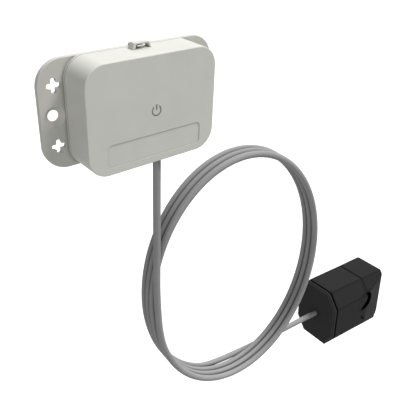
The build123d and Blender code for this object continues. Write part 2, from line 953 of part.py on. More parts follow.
def report_self_gap(line):
    """Print the least gap between the tube's own strands."""
    count = 640
    points = [line.position_at(step / count) for step in range(count + 1)]
    spots = [(point.X, point.Y, point.Z) for point in points]
    far = int(count * 60 / line.length)
    least = 1000.0
    for index, spot in enumerate(spots):
        for other in range(index + far, count):
            if abs(spots[other][0] - spot[0]) > 8 or abs(spots[other][2] - spot[2]) > 8:
                continue
            low = spots[other]
            high = spots[other + 1]
            run = [high[axis] - low[axis] for axis in range(3)]
            back = [spot[axis] - low[axis] for axis in range(3)]
            share = sum(a * b for a, b in zip(run, back)) / sum(a * a for a in run)
            share = min(max(share, 0), 1)
            least = min(least, sum((b - a * share) ** 2 for a, b in zip(run, back)) ** 0.5)
    print("cord_coil least gap between strands", round(least - 2 * cord_r, 3))


def octagon(half_width, half_height, chamfer_y, chamfer_z):
    """Sketch the clamp's eight-sided section, local x across and local y up."""
    flat = half_width - chamfer_y
    side = half_height - chamfer_z
    with BuildLine() as outline:
        Polyline(
            (flat, half_height),
            (half_width, side),
            (half_width, -side),
            (flat, -half_height),
            (-flat, -half_height),
            (-half_width, -side),
            (-half_width, side),
            (-flat, half_height),
            close=True,
        )
    make_face(outline.line.edges())


def body_section(inset):
    """Sketch the clamp body's section, drawn in by a wall."""
    shrink = 0.45 * inset
    octagon(
        clamp_half_width - inset,
        clamp_half_height - inset,
        clamp_chamfer_y - shrink,
        clamp_chamfer_z - shrink,
    )


def jaw_section(x, inset):
    """Sketch the jaw's section at this length, drawn in by a wall."""
    share = (x - clamp_split) / (clamp_length - clamp_split)
    shrink = 0.45 * inset
    octagon(
        clamp_half_width + (jaw_end_half_width - clamp_half_width) * share - inset,
        clamp_half_height - inset,
        clamp_chamfer_y + (jaw_end_chamfer_y - clamp_chamfer_y) * share - shrink,
        clamp_chamfer_z + (jaw_end_chamfer_z - clamp_chamfer_z) * share - shrink,
    )


def clamp_box(x_low, x_high, y_low, y_high, z_low, z_high, mode=Mode.ADD):
    """Add or cut a square block in the clamp's frame."""
    with BuildSketch(Plane.XY.offset(z_low)) as block:
        with Locations(((x_low + x_high) / 2, (y_low + y_high) / 2)):
            Rectangle(x_high - x_low, y_high - y_low)
    extrude(block.sketch, amount=z_high - z_low, mode=mode)


def clamp_bar(x, z, radius, y_low, y_high, mode=Mode.ADD):
    """Add or cut a round bar that lies across the clamp."""
    with BuildSketch(Plane.XZ.offset(-y_low)) as bar:
        with Locations((x, z)):
            Circle(radius)
    extrude(bar.sketch, amount=-(y_high - y_low), mode=mode)


def make_body_room():
    """Make the hollow of the clamp body, less the tube round the window."""
    with BuildPart() as body_room:
        with BuildSketch(Plane.YZ.offset(clamp_cap)):
            body_section(clamp_wall)
        extrude(amount=clamp_split + 1 - clamp_cap)
        clamp_bar(clamp_split, bore_z, bore_r + bore_wall, -20, 20, Mode.SUBTRACT)
    return body_room.part


def make_clamp_body(room):
    """Make the fixed shell of the clamp with half of the window and the middle knuckle."""
    end_x = clamp_split - clamp_half_gap
    shelf_z = bore_z - core_outer - shelf_gap
    cut_x = clamp_split - knuckle_r - knuckle_clear
    with BuildPart() as clamp_body:
        with BuildSketch(Plane.YZ.offset(clamp_cap)):
            body_section(0)
        extrude(amount=end_x - clamp_cap)
        add(room, mode=Mode.SUBTRACT)
        clamp_bar(clamp_split, bore_z, bore_r, -20, 20, Mode.SUBTRACT)
        # Shelf under the core and ribs under the burden board
        side = clamp_half_width - 1
        clamp_box(core_back_x, end_x - 2.5, -side, side, shelf_z - shelf_thick, shelf_z)
        for x in (10.0, 27.0):
            clamp_box(x, x + 1.2, -6, 6, -clamp_half_height + 1, board_top_z - 1.0)
        # Room for the jaw's knuckles, then the middle knuckle on its web
        clamp_box(
            cut_x,
            clamp_split,
            -knuckle_side_high - knuckle_clear,
            knuckle_side_high + knuckle_clear,
            -clamp_half_height,
            hinge_z + knuckle_r + knuckle_clear,
            Mode.SUBTRACT,
        )
        clamp_box(
            cut_x - 1,
            clamp_split,
            -knuckle_half,
            knuckle_half,
            -clamp_half_height,
            -clamp_half_height + clamp_wall,
        )
        clamp_bar(clamp_split, hinge_z, knuckle_r, -knuckle_half, knuckle_half)
        clamp_bar(clamp_split, hinge_z, pin_r + pin_clear, -12, 12, Mode.SUBTRACT)
    return finish(clamp_body, "clamp_body", clamp_plane.location)


def make_clamp_end_cap():
    """Make the end plate of the clamp with its spigot and the lead's hole."""
    with BuildPart() as clamp_end_cap:
        with BuildSketch(Plane.YZ):
            body_section(0)
        extrude(amount=clamp_cap)
        with BuildSketch(Plane.YZ.offset(clamp_cap)):
            body_section(clamp_wall + 0.2)
        extrude(amount=2.5)
        with BuildSketch(Plane.YZ.offset(clamp_cap)):
            body_section(clamp_wall + 1.4)
        extrude(amount=2.5, mode=Mode.SUBTRACT)
        with BuildSketch(Plane.YZ):
            Circle(cord_r + 0.1)
        extrude(amount=clamp_cap, mode=Mode.SUBTRACT)
    return finish(clamp_end_cap, "clamp_end_cap", clamp_plane.location)


def round_jaw_corner(inset, radius, side):
    """Round the jaw's far lower or upper corner in its side view."""
    centre_x = clamp_length - inset - radius
    centre_z = side * (clamp_half_height - inset - radius)
    block = radius + 1
    with BuildSketch(Plane.XZ.offset(25)) as corner:
        with Locations((centre_x + block / 2, centre_z + side * block / 2)):
            Rectangle(block, block)
        with Locations((centre_x, centre_z)):
            Circle(radius, mode=Mode.SUBTRACT)
    extrude(corner.sketch, amount=-50, mode=Mode.SUBTRACT)


def make_jaw_room():
    """Make the hollow of the jaw, less the tube round the window."""
    with BuildPart() as jaw_room:
        with BuildSketch(Plane.YZ.offset(clamp_split - 2)):
            jaw_section(clamp_split - 2, clamp_wall)
        with BuildSketch(Plane.YZ.offset(clamp_length - clamp_wall)):
            jaw_section(clamp_length - clamp_wall, clamp_wall)
        loft()
        round_jaw_corner(clamp_wall, jaw_low_corner - clamp_wall, -1)
        clamp_bar(clamp_split, bore_z, bore_r + bore_wall, -20, 20, Mode.SUBTRACT)
    return jaw_room.part


def make_clamp_jaw(room):
    """Make the jaw with half of the window, its two knuckles and its guide tongues."""
    start_x = clamp_split + clamp_half_gap
    shelf_z = bore_z - core_outer - shelf_gap
    cut_x = clamp_split + knuckle_r + knuckle_clear
    tongue_y = clamp_half_width - clamp_wall - 0.35
    guide_low = shelf_z + 0.1
    with BuildPart() as clamp_jaw:
        with BuildSketch(Plane.YZ.offset(start_x)):
            jaw_section(start_x, 0)
        with BuildSketch(Plane.YZ.offset(clamp_length)):
            jaw_section(clamp_length, 0)
        loft()
        round_jaw_corner(0, jaw_low_corner, -1)
        round_jaw_corner(0, jaw_high_corner, 1)
        add(room, mode=Mode.SUBTRACT)
        clamp_bar(clamp_split, bore_z, bore_r, -20, 20, Mode.SUBTRACT)
        # Shelf under the moving core half
        shelf_side = jaw_end_half_width + 0.7
        clamp_box(
            start_x + 2.5, jaw_core_end_x, -shelf_side, shelf_side, shelf_z - shelf_thick, shelf_z
        )
        # Tongues that guide the jaw into the body as it closes
        for side in (-1, 1):
            edges = sorted((side * (tongue_y - 1.2), side * tongue_y))
            clamp_box(clamp_split - 3.1, clamp_split + 5, edges[0], edges[1], guide_low, guide_low + 3.2)
            inner = sorted((side * (tongue_y - 1.2), side * (tongue_y + 1.0)))
            clamp_box(start_x, clamp_split + 5, inner[0], inner[1], guide_low, guide_low + 3.2)
        # Clear the lower edge for opening, then the two knuckles on their webs
        clamp_box(
            start_x - 1,
            cut_x,
            -clamp_half_width,
            clamp_half_width,
            -clamp_half_height - 1,
            hinge_z + knuckle_r + 0.1,
            Mode.SUBTRACT,
        )
        for side in (-1, 1):
            edges = sorted((side * knuckle_side_low, side * knuckle_side_high))
            clamp_box(
                clamp_split,
                cut_x + 1,
                edges[0],
                edges[1],
                -clamp_half_height,
                -clamp_half_height + clamp_wall,
            )
            clamp_bar(clamp_split, hinge_z, knuckle_r, edges[0], edges[1])
        clamp_bar(clamp_split, hinge_z, pin_r + pin_clear, -12, 12, Mode.SUBTRACT)
    return finish(clamp_jaw, "clamp_jaw", clamp_plane.location)


def make_clamp_hinge_pin():
    """Make the pin through the three knuckles."""
    with BuildPart() as clamp_hinge_pin:
        clamp_bar(clamp_split, hinge_z, pin_r, -knuckle_side_high, knuckle_side_high)
    return finish(clamp_hinge_pin, "clamp_hinge_pin", clamp_plane.location)


def make_core_half(label, back_x, face_x):
    """Make one U-shaped half of the core, its legs ending at the split."""
    thick = core_outer - core_inner
    towards = 1 if face_x > back_x else -1
    back = sorted((back_x, back_x + towards * thick))
    legs = sorted((back_x, face_x))
    with BuildPart() as core_half:
        clamp_box(
            back[0], back[1], -core_half_width, core_half_width, bore_z - core_outer, bore_z + core_outer
        )
        for side in (-1, 1):
            edges = sorted((bore_z + side * core_inner, bore_z + side * core_outer))
            clamp_box(legs[0], legs[1], -core_half_width, core_half_width, edges[0], edges[1])
    return finish(core_half, label, clamp_plane.location)


def make_clamp_bobbin():
    """Make the bobbin round the back leg of the fixed core half."""
    leg_low = core_back_x
    leg_high = core_back_x + core_outer - core_inner
    half_high = core_inner - bobbin_gap
    tube = bobbin_gap + bobbin_wall
    with BuildPart() as clamp_bobbin:
        clamp_box(
            leg_low - tube,
            leg_high + tube,
            -core_half_width - tube,
            core_half_width + tube,
            bore_z - half_high,
            bore_z + half_high,
        )
        for low_z in (bore_z - half_high, bore_z + half_high - bobbin_wall):
            clamp_box(
                leg_low - bobbin_flange,
                leg_high + bobbin_flange,
                -bobbin_side,
                bobbin_side,
                low_z,
                low_z + bobbin_wall,
            )
        clamp_box(
            leg_low - bobbin_gap,
            leg_high + bobbin_gap,
            -core_half_width - bobbin_gap,
            core_half_width + bobbin_gap,
            bore_z - half_high,
            bore_z + half_high,
            Mode.SUBTRACT,
        )
    return finish(clamp_bobbin, "clamp_bobbin", clamp_plane.location)


def make_clamp_winding():
    """Make the winding between the bobbin's flanges."""
    leg_low = core_back_x
    leg_high = core_back_x + core_outer - core_inner
    half_high = core_inner - bobbin_gap - bobbin_wall
    out = bobbin_flange - winding_less
    side = bobbin_side - winding_less
    tube = bobbin_gap + bobbin_wall
    with BuildPart() as clamp_winding:
        clamp_box(
            leg_low - out, leg_high + out, -side, side, bore_z - half_high, bore_z + half_high
        )
        fillet(clamp_winding.edges().filter_by(Axis.Z), 2.0)
        clamp_box(
            leg_low - tube,
            leg_high + tube,
            -core_half_width - tube,
            core_half_width + tube,
            bore_z - half_high,
            bore_z + half_high,
            Mode.SUBTRACT,
        )
    return finish(clamp_winding, "clamp_winding", clamp_plane.location)


def make_clamp_core_spring():
    """Make the bent leaf that presses the moving core half to the fixed one."""
    near_x = jaw_core_end_x
    far_x = clamp_length - clamp_wall
    with BuildPart() as clamp_core_spring:
        with BuildSketch(Plane.XZ):
            with BuildLine():
                Polyline(
                    (far_x - 0.5, bore_z - 9),
                    (far_x, bore_z - 9),
                    (near_x + 0.5, bore_z - 2),
                    (near_x + 0.5, bore_z + 2),
                    (far_x, bore_z + 9),
                    (far_x - 0.5, bore_z + 9),
                    (near_x, bore_z + 2.2),
                    (near_x, bore_z - 2.2),
                    close=True,
                )
            make_face()
        extrude(amount=4.0, both=True)
    return finish(clamp_core_spring, "clamp_core_spring", clamp_plane.location)


def make_burden_board():
    """Make the small board under the core."""
    with BuildPart() as burden_board:
        clamp_box(8, 30, -8, 8, board_top_z - 1.0, board_top_z)
    return finish(burden_board, "burden_board", clamp_plane.location)


def make_burden_parts():
    """Make the burden resistor and the small block beside it."""
    with BuildPart() as burden_parts:
        clamp_bar(22, board_top_z + 1.2, 1.2, -4, 4)
        clamp_box(14, 17, -2.5, 2.5, board_top_z, board_top_z + 1.6)
    return finish(burden_parts, "burden_parts", clamp_plane.location)


def make_clamp_collar():
    """Make the collar that grips the lead behind the end cap."""
    with BuildPart() as clamp_collar:
        with BuildSketch(Plane.YZ.offset(clamp_cap)):
            Circle(collar_r)
            Circle(cord_r + gland_clear, mode=Mode.SUBTRACT)
        extrude(amount=collar_length)
    return finish(clamp_collar, "clamp_collar", clamp_plane.location)


def make_clamp_wires():
    """Make the two wires from the lead's end down to the burden board."""
    start_x = clamp_cap + collar_length - 0.5
    with BuildPart() as clamp_wires:
        for side in (-1, 1):
            with BuildLine() as wire_line:
                FilletPolyline(
                    (start_x, side * wire_half_spacing, 0),
                    (start_x + 2.7, side * wire_half_spacing, 0),
                    (start_x + 2.7, side * wire_half_spacing, board_top_z),
                    radius=1.4,
                )
            with BuildSketch(Plane(wire_line.line @ 0, z_dir=wire_line.line % 0)):
                Circle(wire_r)
            sweep(path=wire_line.line)
    return finish(clamp_wires, "clamp_wires", clamp_plane.location)


def main():
    """Make and write every piece."""
    make_back_plate()
    make_case_front()
    make_seal_ring()
    make_latch_tongue()
    make_power_button()
    make_tact_switch()
    make_switch_plunger()
    make_circuit_board()
    make_board_screws()
    make_board_block("radio_module", 8.5, 23.5, -19, -5, 2.8, 0.3)
    make_board_block("board_antenna", 10, 22, -1.5, 3.5, 1.2, 0.2)
    make_board_chips()
    make_board_capacitors()
    make_cell_holder()
    make_battery_cell()
    make_cell_spring()
    make_cell_contact()
    make_lead_header()
    make_lead_plug()
    make_lead_wires()
    make_cord_gland()
    make_cord_drop()
    make_cord_coil()
    make_cord_lead()
    make_clamp_body(make_body_room())
    make_clamp_end_cap()
    make_clamp_jaw(make_jaw_room())
    make_clamp_hinge_pin()
    make_core_half("clamp_core_fixed", core_back_x, clamp_split - clamp_half_gap)
    make_core_half("clamp_core_moving", jaw_core_end_x, clamp_split + clamp_half_gap)
    make_clamp_bobbin()
    make_clamp_winding()
    make_clamp_core_spring()
    make_burden_board()
    make_burden_parts()
    make_clamp_collar()
    make_clamp_wires()


main()
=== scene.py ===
"""A wall-mounted current meter: small case, free lead laid in loops, and split clamp.

Sizes are in millimetres where they are written and in metres once they are placed.
The origin is the centre of the wall plate's back face, the case looks along -Y and
+Z is up. A depth is measured from the wall towards the front.
"""

import logging
import math
from collections.abc import Callable, Mapping, Sequence
from dataclasses import astuple, dataclass, field, replace
from enum import Enum
from functools import partial

import bmesh
import bpy
from mathutils import Matrix, Vector


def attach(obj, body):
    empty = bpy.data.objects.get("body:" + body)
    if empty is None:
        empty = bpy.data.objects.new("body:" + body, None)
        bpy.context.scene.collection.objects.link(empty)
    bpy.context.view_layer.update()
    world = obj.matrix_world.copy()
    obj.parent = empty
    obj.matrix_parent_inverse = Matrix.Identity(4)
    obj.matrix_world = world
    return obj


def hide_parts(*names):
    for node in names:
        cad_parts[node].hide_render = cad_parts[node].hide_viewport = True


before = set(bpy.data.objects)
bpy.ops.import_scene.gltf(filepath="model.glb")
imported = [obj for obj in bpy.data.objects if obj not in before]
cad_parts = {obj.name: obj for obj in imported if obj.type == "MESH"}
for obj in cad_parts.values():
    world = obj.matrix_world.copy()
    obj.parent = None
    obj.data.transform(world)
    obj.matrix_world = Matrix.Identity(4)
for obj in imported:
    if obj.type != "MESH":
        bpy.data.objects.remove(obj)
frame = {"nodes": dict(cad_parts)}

log = logging.getLogger("meter")
Piece = bpy.types.Object
Pair = tuple[float, float]
Triple = tuple[float, float, float]
Shade = tuple[float, float, float, float]
Loop = list[Pair]
Profile = Sequence[Pair]
Ring = list[Vector]
Lay = Callable[[Loop, float], Ring]
Inputs = dict[int | str, object]

MM = 0.001
PAST = 0.2  # how far a cutter reaches past a face, or an added block into one
SHARP_ANGLE = 32.0  # edges that turn by more degrees than this stay crisp
CASE_FRONT = 20.4  # depth of the case's front face
BUTTON_MIDDLE = (0.8, 0.1)
LEAD_MIDDLE = (4.4, 15.45)  # where the lead leaves the case: across and depth
LATCH_PIVOT = (0.75, 24.6)  # the line that the latch tongue turns about: depth and height


class Join(Enum):
    """How one mesh is combined with another."""

    ADD = "UNION"
    CUT = "DIFFERENCE"
    KEEP = "INTERSECT"


class Body(Enum):
    """The bodies that a piece can ride on."""

    METER = "meter"
    BUTTON = "power_button"
    LATCH = "latch_tongue"
    JAW = "clamp_jaw"


@dataclass(frozen=True)
class Placement:
    """Where a drawing in millimetres lies: across, up and along it."""

    origin: Vector
    across: Vector
    up: Vector
    along: Vector

    def on_axis(self, w: float) -> Vector:
        """Return the point this far along the drawing's axis, in millimetres."""
        return self.origin + self.along * w

    def matrix(self) -> Matrix:
        """Return the matrix that moves a finished drawing into the model, in metres."""
        axes = Matrix((self.across, self.up, self.along)).transposed().to_4x4()
        return Matrix.Scale(MM, 4) @ Matrix.Translation(self.origin) @ axes


def clamp_placement() -> Placement:
    """Lay the clamp with its length along the lead's last run.

    Returns:
        The clamp's own placement.
    """
    along = Vector((0.9969, -0.0783, 0.0)).normalized()
    up = Vector((0.006, 0.0758, 0.9971))
    up = (up - along * up.dot(along)).normalized()
    return Placement(Vector((152.15, -20.1, -199.45)), up.cross(along), up, along)


WALL = Placement(Vector((0, 0, 0)), Vector((1, 0, 0)), Vector((0, 0, 1)), Vector((0, -1, 0)))
CLAMP = clamp_placement()


# Outlines


def ring(loop: Loop, w: float) -> Ring:
    """Return a closed outline at one distance along."""
    return [Vector((u, v, w)) for u, v in loop]


def level_ring(loop: Loop, height: float) -> Ring:
    """Return an outline of widths and depths as a level ring of the wall drawing."""
    return [Vector((x, height, depth)) for x, depth in loop]


def side_ring(loop: Loop, across: float) -> Ring:
    """Return an outline of distances along and heights as a ring seen from the side."""
    return [Vector((across, v, w)) for w, v in loop]


def round_corners(corners: Profile, radii: Sequence[float], steps: int) -> Loop:
    """Replace each corner of a closed outline by an arc.

    Args:
        corners: The outline's corners in order.
        radii: One radius for each corner.
        steps: Straight pieces in each arc.

    Returns:
        The rounded outline, always with the same number of points for the same steps.
    """
    made: Loop = []
    for index, (corner, radius) in enumerate(zip(corners, radii)):
        here = Vector(corner)
        back = (Vector(corners[index - 1]) - here).normalized()
        ahead = (Vector(corners[(index + 1) % len(corners)]) - here).normalized()
        half = back.angle(ahead) / 2
        centre = here + (back + ahead).normalized() * (radius / math.sin(half))
        first = here + back * (radius / math.tan(half)) - centre
        last = here + ahead * (radius / math.tan(half)) - centre
        start = math.atan2(first.y, first.x)
        turn = math.atan2(last.y, last.x) - start
        turn = (turn + math.pi) % (2 * math.pi) - math.pi
        for step in range(steps + 1):
            angle = start + turn * step / steps
            made.append((centre.x + radius * math.cos(angle), centre.y + radius * math.sin(angle)))
    return made


def rounded_rectangle(
    size: Pair, radius: float, middle: Pair = (0, 0), steps: int = 12, inset: float = 0.0
) -> Loop:
    """Draw a rectangle with four round corners.

    Args:
        size: Its width and height.
        radius: The radius of its corners.
        middle: Its centre.
        steps: Straight pieces in each corner.
        inset: How far the whole outline is drawn in.

    Returns:
        The outline.
    """
    x, y = middle
    width, height = (length - 2 * inset for length in size)
    signs = ((1, 1), (-1, 1), (-1, -1), (1, -1))
    corners = [(x + sx * width / 2, y + sy * height / 2) for sx, sy in signs]
    return round_corners(corners, [max(radius - inset, 0.01)] * 4, steps)


def circle(radius: float, middle: Pair, steps: int) -> Loop:
    """Return a circle as a closed outline."""
    turns = [2 * math.pi * step / steps for step in range(steps)]
    return [(middle[0] + radius * math.cos(a), middle[1] + radius * math.sin(a)) for a in turns]


def cross(length: float, width: float, middle: Pair, grow: float) -> Loop:
    """Draw a plus with round arm ends.

    Args:
        length: Length over two opposite arms.
        width: Width of an arm.
        middle: Its centre.
        grow: How far the outline is moved outwards.

    Returns:
        The outline.
    """
    reach = length / 2 + grow
    half = width / 2 + grow
    corners: Loop = []
    for quarter_turn in range(4):
        turn = Matrix.Rotation(math.pi / 2 * quarter_turn, 2)
        for spot in ((reach, -half), (reach, half), (half, half)):
            placed = turn @ Vector(spot)
            corners.append((placed.x + middle[0], placed.y + middle[1]))
    return round_corners(corners, [0.6 * half, 0.6 * half, 0.2] * 4, 6)


def quarter(radius: float, steps: int = 6) -> Loop:
    """Return the rise and the inset of a rounded edge, from its side to its face."""
    turns = [math.pi / 2 * step / steps for step in range(steps + 1)]
    return [(radius * math.sin(a), radius * (1 - math.cos(a))) for a in turns]


@dataclass(frozen=True)
class Octagon:
    """The clamp's eight-sided section."""

    half_width: float
    half_height: float
    chamfer_across: float
    chamfer_up: float
    corner: float

    def inset(self, depth: float) -> "Octagon":
        """Draw the section in evenly.

        Args:
            depth: How far each side moves inwards.

        Returns:
            The smaller section.
        """
        slope = math.hypot(self.chamfer_across, self.chamfer_up)
        return Octagon(
            self.half_width - depth,
            self.half_height - depth,
            self.chamfer_across - depth * (1 + (self.chamfer_across - slope) / self.chamfer_up),
            self.chamfer_up - depth * (1 + (self.chamfer_up - slope) / self.chamfer_across),
            max(self.corner - 0.4 * depth, 0.2),
        )

    def blend(self, other: "Octagon", share: float) -> "Octagon":
        """Return the section that lies this share of the way to another."""
        return Octagon(*(a + (b - a) * share for a, b in zip(astuple(self), astuple(other))))

    def loop(self) -> Loop:
        """Draw the section with rounded corners.

        Returns:
            The closed outline.
        """
        wide, tall = self.half_width, self.half_height
        flat = wide - self.chamfer_across
        side = tall - self.chamfer_up
        corners = [(flat, tall), (-flat, tall), (-wide, side), (-wide, -side)]
        corners += [(-x, -y) for x, y in corners]
        return round_corners(corners, [self.corner] * 8, 5)


# Meshes


def add_object(name: str, data: bpy.types.ID) -> Piece:
    """Link new data to the scene.

    Args:
        name: The object's name.
        data: Its mesh, curve, lamp or camera.

    Returns:
        The new object.
    """
    piece = bpy.data.objects.new(name, data)
    bpy.context.scene.collection.objects.link(piece)
    return piece


def skin(name: str, rings: Sequence[Ring], closed: bool = False) -> Piece:
    """Join rings of equal length into a closed mesh.

    Args:
        name: The piece's name.
        rings: The rings in order.
        closed: Whether the last ring joins the first, as in a tube with a thick wall.

    Returns:
        The new object.
    """
    sheet = bmesh.new()
    rows = [[sheet.verts.new(point) for point in points] for points in rings]
    pairs = list(zip(rows, rows[1:]))
    if closed:
        pairs.append((rows[-1], rows[0]))
    else:
        sheet.faces.new(list(reversed(rows[0])))
        sheet.faces.new(rows[-1])
    for low, high in pairs:
        for index in range(len(low)):
            after = (index + 1) % len(low)
            sheet.faces.new((low[index], low[after], high[after], high[index]))
    bmesh.ops.recalc_face_normals(sheet, faces=sheet.faces)
    mesh = bpy.data.meshes.new(name)
    sheet.to_mesh(mesh)
    sheet.free()
    return add_object(name, mesh)


def combine(piece: Piece, way: Join, *tools: Piece) -> None:
    """Combine a piece with other meshes one by one, which are used up.

    Args:
        piece: The mesh that stays.
        way: How they are combined.
        *tools: The meshes that are added, cut away or kept within.
    """
    for tool in tools:
        step = piece.modifiers.new("combine", "BOOLEAN")
        step.operation = way.value
        step.solver = "EXACT"
        step.object = tool
        graph = bpy.context.evaluated_depsgraph_get()
        mesh = bpy.data.meshes.new_from_object(piece.evaluated_get(graph))
        old = piece.data
        piece.modifiers.clear()
        piece.data = mesh
        bpy.data.meshes.remove(old)
        mesh.name = piece.name
        bpy.data.meshes.remove(tool.data)


def prism(name: str, loop: Loop, ends: Pair, lay: Lay = ring) -> Piece:
    """Return a straight block with this outline between two distances."""
    return skin(name, [lay(loop, end) for end in ends])


def block(name: str, along: Pair, across: Pair, up: Pair) -> Piece:
    """Build a square block with slightly round edges.

    Args:
        name: The piece's name.
        along: Its two ends along.
        across: Its two sides.
        up: Its bottom and top.

    Returns:
        The new object.
    """
    size = (across[1] - across[0], up[1] - up[0])
    middle = ((across[0] + across[1]) / 2, (up[0] + up[1]) / 2)
    return prism(name, rounded_rectangle(size, 0.05, middle, 3), along)


def turned(name: str, profile: Profile, middle: Pair, steps: int, lay: Lay = ring) -> Piece:
    """Return a round piece with this many sides, from its distances and radii in order."""
    return skin(name, [lay(circle(radius, middle, steps), w) for w, radius in profile])


def stack(name: str, shape: Callable[[float], Loop], steps: Profile) -> Piece:
    """Return a solid from one outline and, for each distance, how far it is drawn in or out."""
    return skin(name, [ring(shape(amount), w) for w, amount in steps])


def sleeve(name: str, inner: Loop, outer: Loop, ends: Pair) -> Piece:
    """Build a straight wall between two outlines.

    Args:
        name: The piece's name.
        inner: The inner outline.
        outer: The outer outline, with as many points.
        ends: Its two distances along.

    Returns:
        The new object.
    """
    first, last = ends
    steps = ((inner, first), (inner, last), (outer, last), (outer, first))
    return skin(name, [ring(loop, w) for loop, w in steps], closed=True)


# Finishes


class Channel:
    """A shader socket on which sums can be written as plain expressions."""

    def __init__(self, sheet: "NodeSheet", socket: bpy.types.NodeSocket | None) -> None:
        """Wrap a socket of the given sheet."""
        self.sheet = sheet
        self.socket = socket

    def _combine(self, operation: str, first: object, second: object) -> "Channel":
        """Add a Math node with two inputs and return its result."""
        return self.sheet.node("ShaderNodeMath", {"operation": operation}, {0: first, 1: second})

    def __add__(self, other: object) -> "Channel":
        """Return the sum."""
        return self._combine("ADD", self, other)

    def __sub__(self, other: object) -> "Channel":
        """Return the difference."""
        return self._combine("SUBTRACT", self, other)

    def __rsub__(self, other: object) -> "Channel":
        """Return a number less this value."""
        return self._combine("SUBTRACT", other, self)

    def __mul__(self, other: object) -> "Channel":
        """Return the product."""
        return self._combine("MULTIPLY", self, other)

    __radd__ = __add__
    __rmul__ = __mul__


class NodeSheet:
    """A node tree that is filled through one method."""

    def __init__(self, tree: bpy.types.NodeTree) -> None:
        """Start with an empty tree."""
        self.tree = tree
        tree.nodes.clear()

    def node(
        self,
        kind: str,
        settings: Mapping[str, object] | None = None,
        inputs: Mapping[int | str, object] | None = None,
        output: int | str = 0,
    ) -> Channel:
        """Add one node.

        Args:
            kind: The node's type.
            settings: Its properties, set first. "stops" holds a ramp's positions and greys.
            inputs: Numbers, colours or channels for its sockets.
            output: The socket that is returned.

        Returns:
            The chosen output, or an empty channel where the node has none.
        """
        made = self.tree.nodes.new(kind)
        for key, value in (settings or {}).items():
            if key == "stops":
                self._set_stops(made.color_ramp, value)
            else:
                setattr(made, key, value)
        for key, value in (inputs or {}).items():
            if isinstance(value, Channel):
                self.tree.links.new(value.socket, made.inputs[key])
            else:
                made.inputs[key].default_value = value
        return Channel(self, made.outputs[output] if made.outputs else None)

    def _set_stops(self, ramp: bpy.types.ColorRamp, stops: Profile) -> None:
        """Set a ramp's stops.

        Args:
            ramp: The ramp.
            stops: Its positions and grey levels.
        """
        while len(ramp.elements) < len(stops):
            ramp.elements.new(1.0)
        for element, (position, level) in zip(ramp.elements, stops):
            element.position = position
            element.color = (level, level, level, 1.0)

    def place(self, **moves: Triple) -> Channel:
        """Return the place on the piece, in metres, with a Mapping's Rotation or Scale."""
        spot = self.node("ShaderNodeTexCoord", output="Object")
        return self.node("ShaderNodeMapping", {}, {"Vector": spot, **moves}) if moves else spot

    def noise(self, size_mm: float, detail: float, place: Channel | None = None) -> Channel:
        """Return soft noise whose patches are about this wide."""
        inputs = {"Vector": place or self.place(), "Scale": 1 / MM / size_mm, "Detail": detail}
        return self.node("ShaderNodeTexNoise", {}, {**inputs, "Roughness": 0.55})

    def cells(self, size_mm: float) -> Channel:
        """Return the distance to the nearest of points about this far apart."""
        inputs = {"Vector": self.place(), "Scale": 1 / MM / size_mm}
        return self.node("ShaderNodeTexVoronoi", {}, inputs)

    def ramp(self, value: Channel, *stops: Pair) -> Channel:
        """Return a value sent through a ramp of grey levels."""
        return self.node("ShaderNodeValToRGB", {"stops": stops}, {"Fac": value})

    def mix(self, share: object, first: object, second: object) -> Channel:
        """Return a mix of two colours."""
        inputs = {0: share, 6: first, 7: second}
        return self.node("ShaderNodeMix", {"data_type": "RGBA"}, inputs, output=2)

    def edges(self, reach_mm: float) -> Channel:
        """Find the edges by comparing the rounded normal with the plain one.

        Args:
            reach_mm: How far from an edge it can be felt.

        Returns:
            0 on open surfaces, rising towards 1 at edges.
        """
        rounded = self.node("ShaderNodeBevel", {"samples": 6}, {"Radius": reach_mm * MM})
        plain = self.node("ShaderNodeNewGeometry", output="Normal")
        product = {"operation": "DOT_PRODUCT"}
        alike = self.node("ShaderNodeVectorMath", product, {0: rounded, 1: plain}, "Value")
        return self.ramp(1.0 - alike, (0.0, 0.0), (0.02, 1.0))

    def shade_mask(self, reach_mm: float) -> Channel:
        """Find the corners and gaps, into which shade is painted, by how much open space lies
        round them.

        Args:
            reach_mm: How far away a surface still counts.

        Returns:
            0 in the open, rising to 1 deep in corners and gaps.
        """
        reach = {"Distance": reach_mm * MM}
        in_open = self.node("ShaderNodeAmbientOcclusion", {"samples": 8}, reach, output="AO")
        return self.ramp(in_open, (0.25, 1.0), (0.97, 0.0))

    def bump(self, height: Channel, depth_mm: float, strength: float) -> Channel:
        """Return a normal bent by a height of this depth."""
        inputs = {"Height": height, "Distance": depth_mm * MM, "Strength": strength}
        return self.node("ShaderNodeBump", {}, inputs, output="Normal")


def plain_colour(red: int, green: int, blue: int) -> Shade:
    """Turn a colour as seen on a screen, 0 to 255, into the shader's light values.

    Args:
        red: The red level.
        green: The green level.
        blue: The blue level.

    Returns:
        The colour for a shader.
    """
    levels = [value / 255 for value in (red, green, blue)]
    linear = [v / 12.92 if v <= 0.04045 else ((v + 0.055) / 1.055) ** 2.4 for v in levels]
    return (linear[0], linear[1], linear[2], 1.0)


def soft_grey(level: int) -> Shade:
    """Return a neutral grey as seen on a screen."""
    return plain_colour(level, level, level)


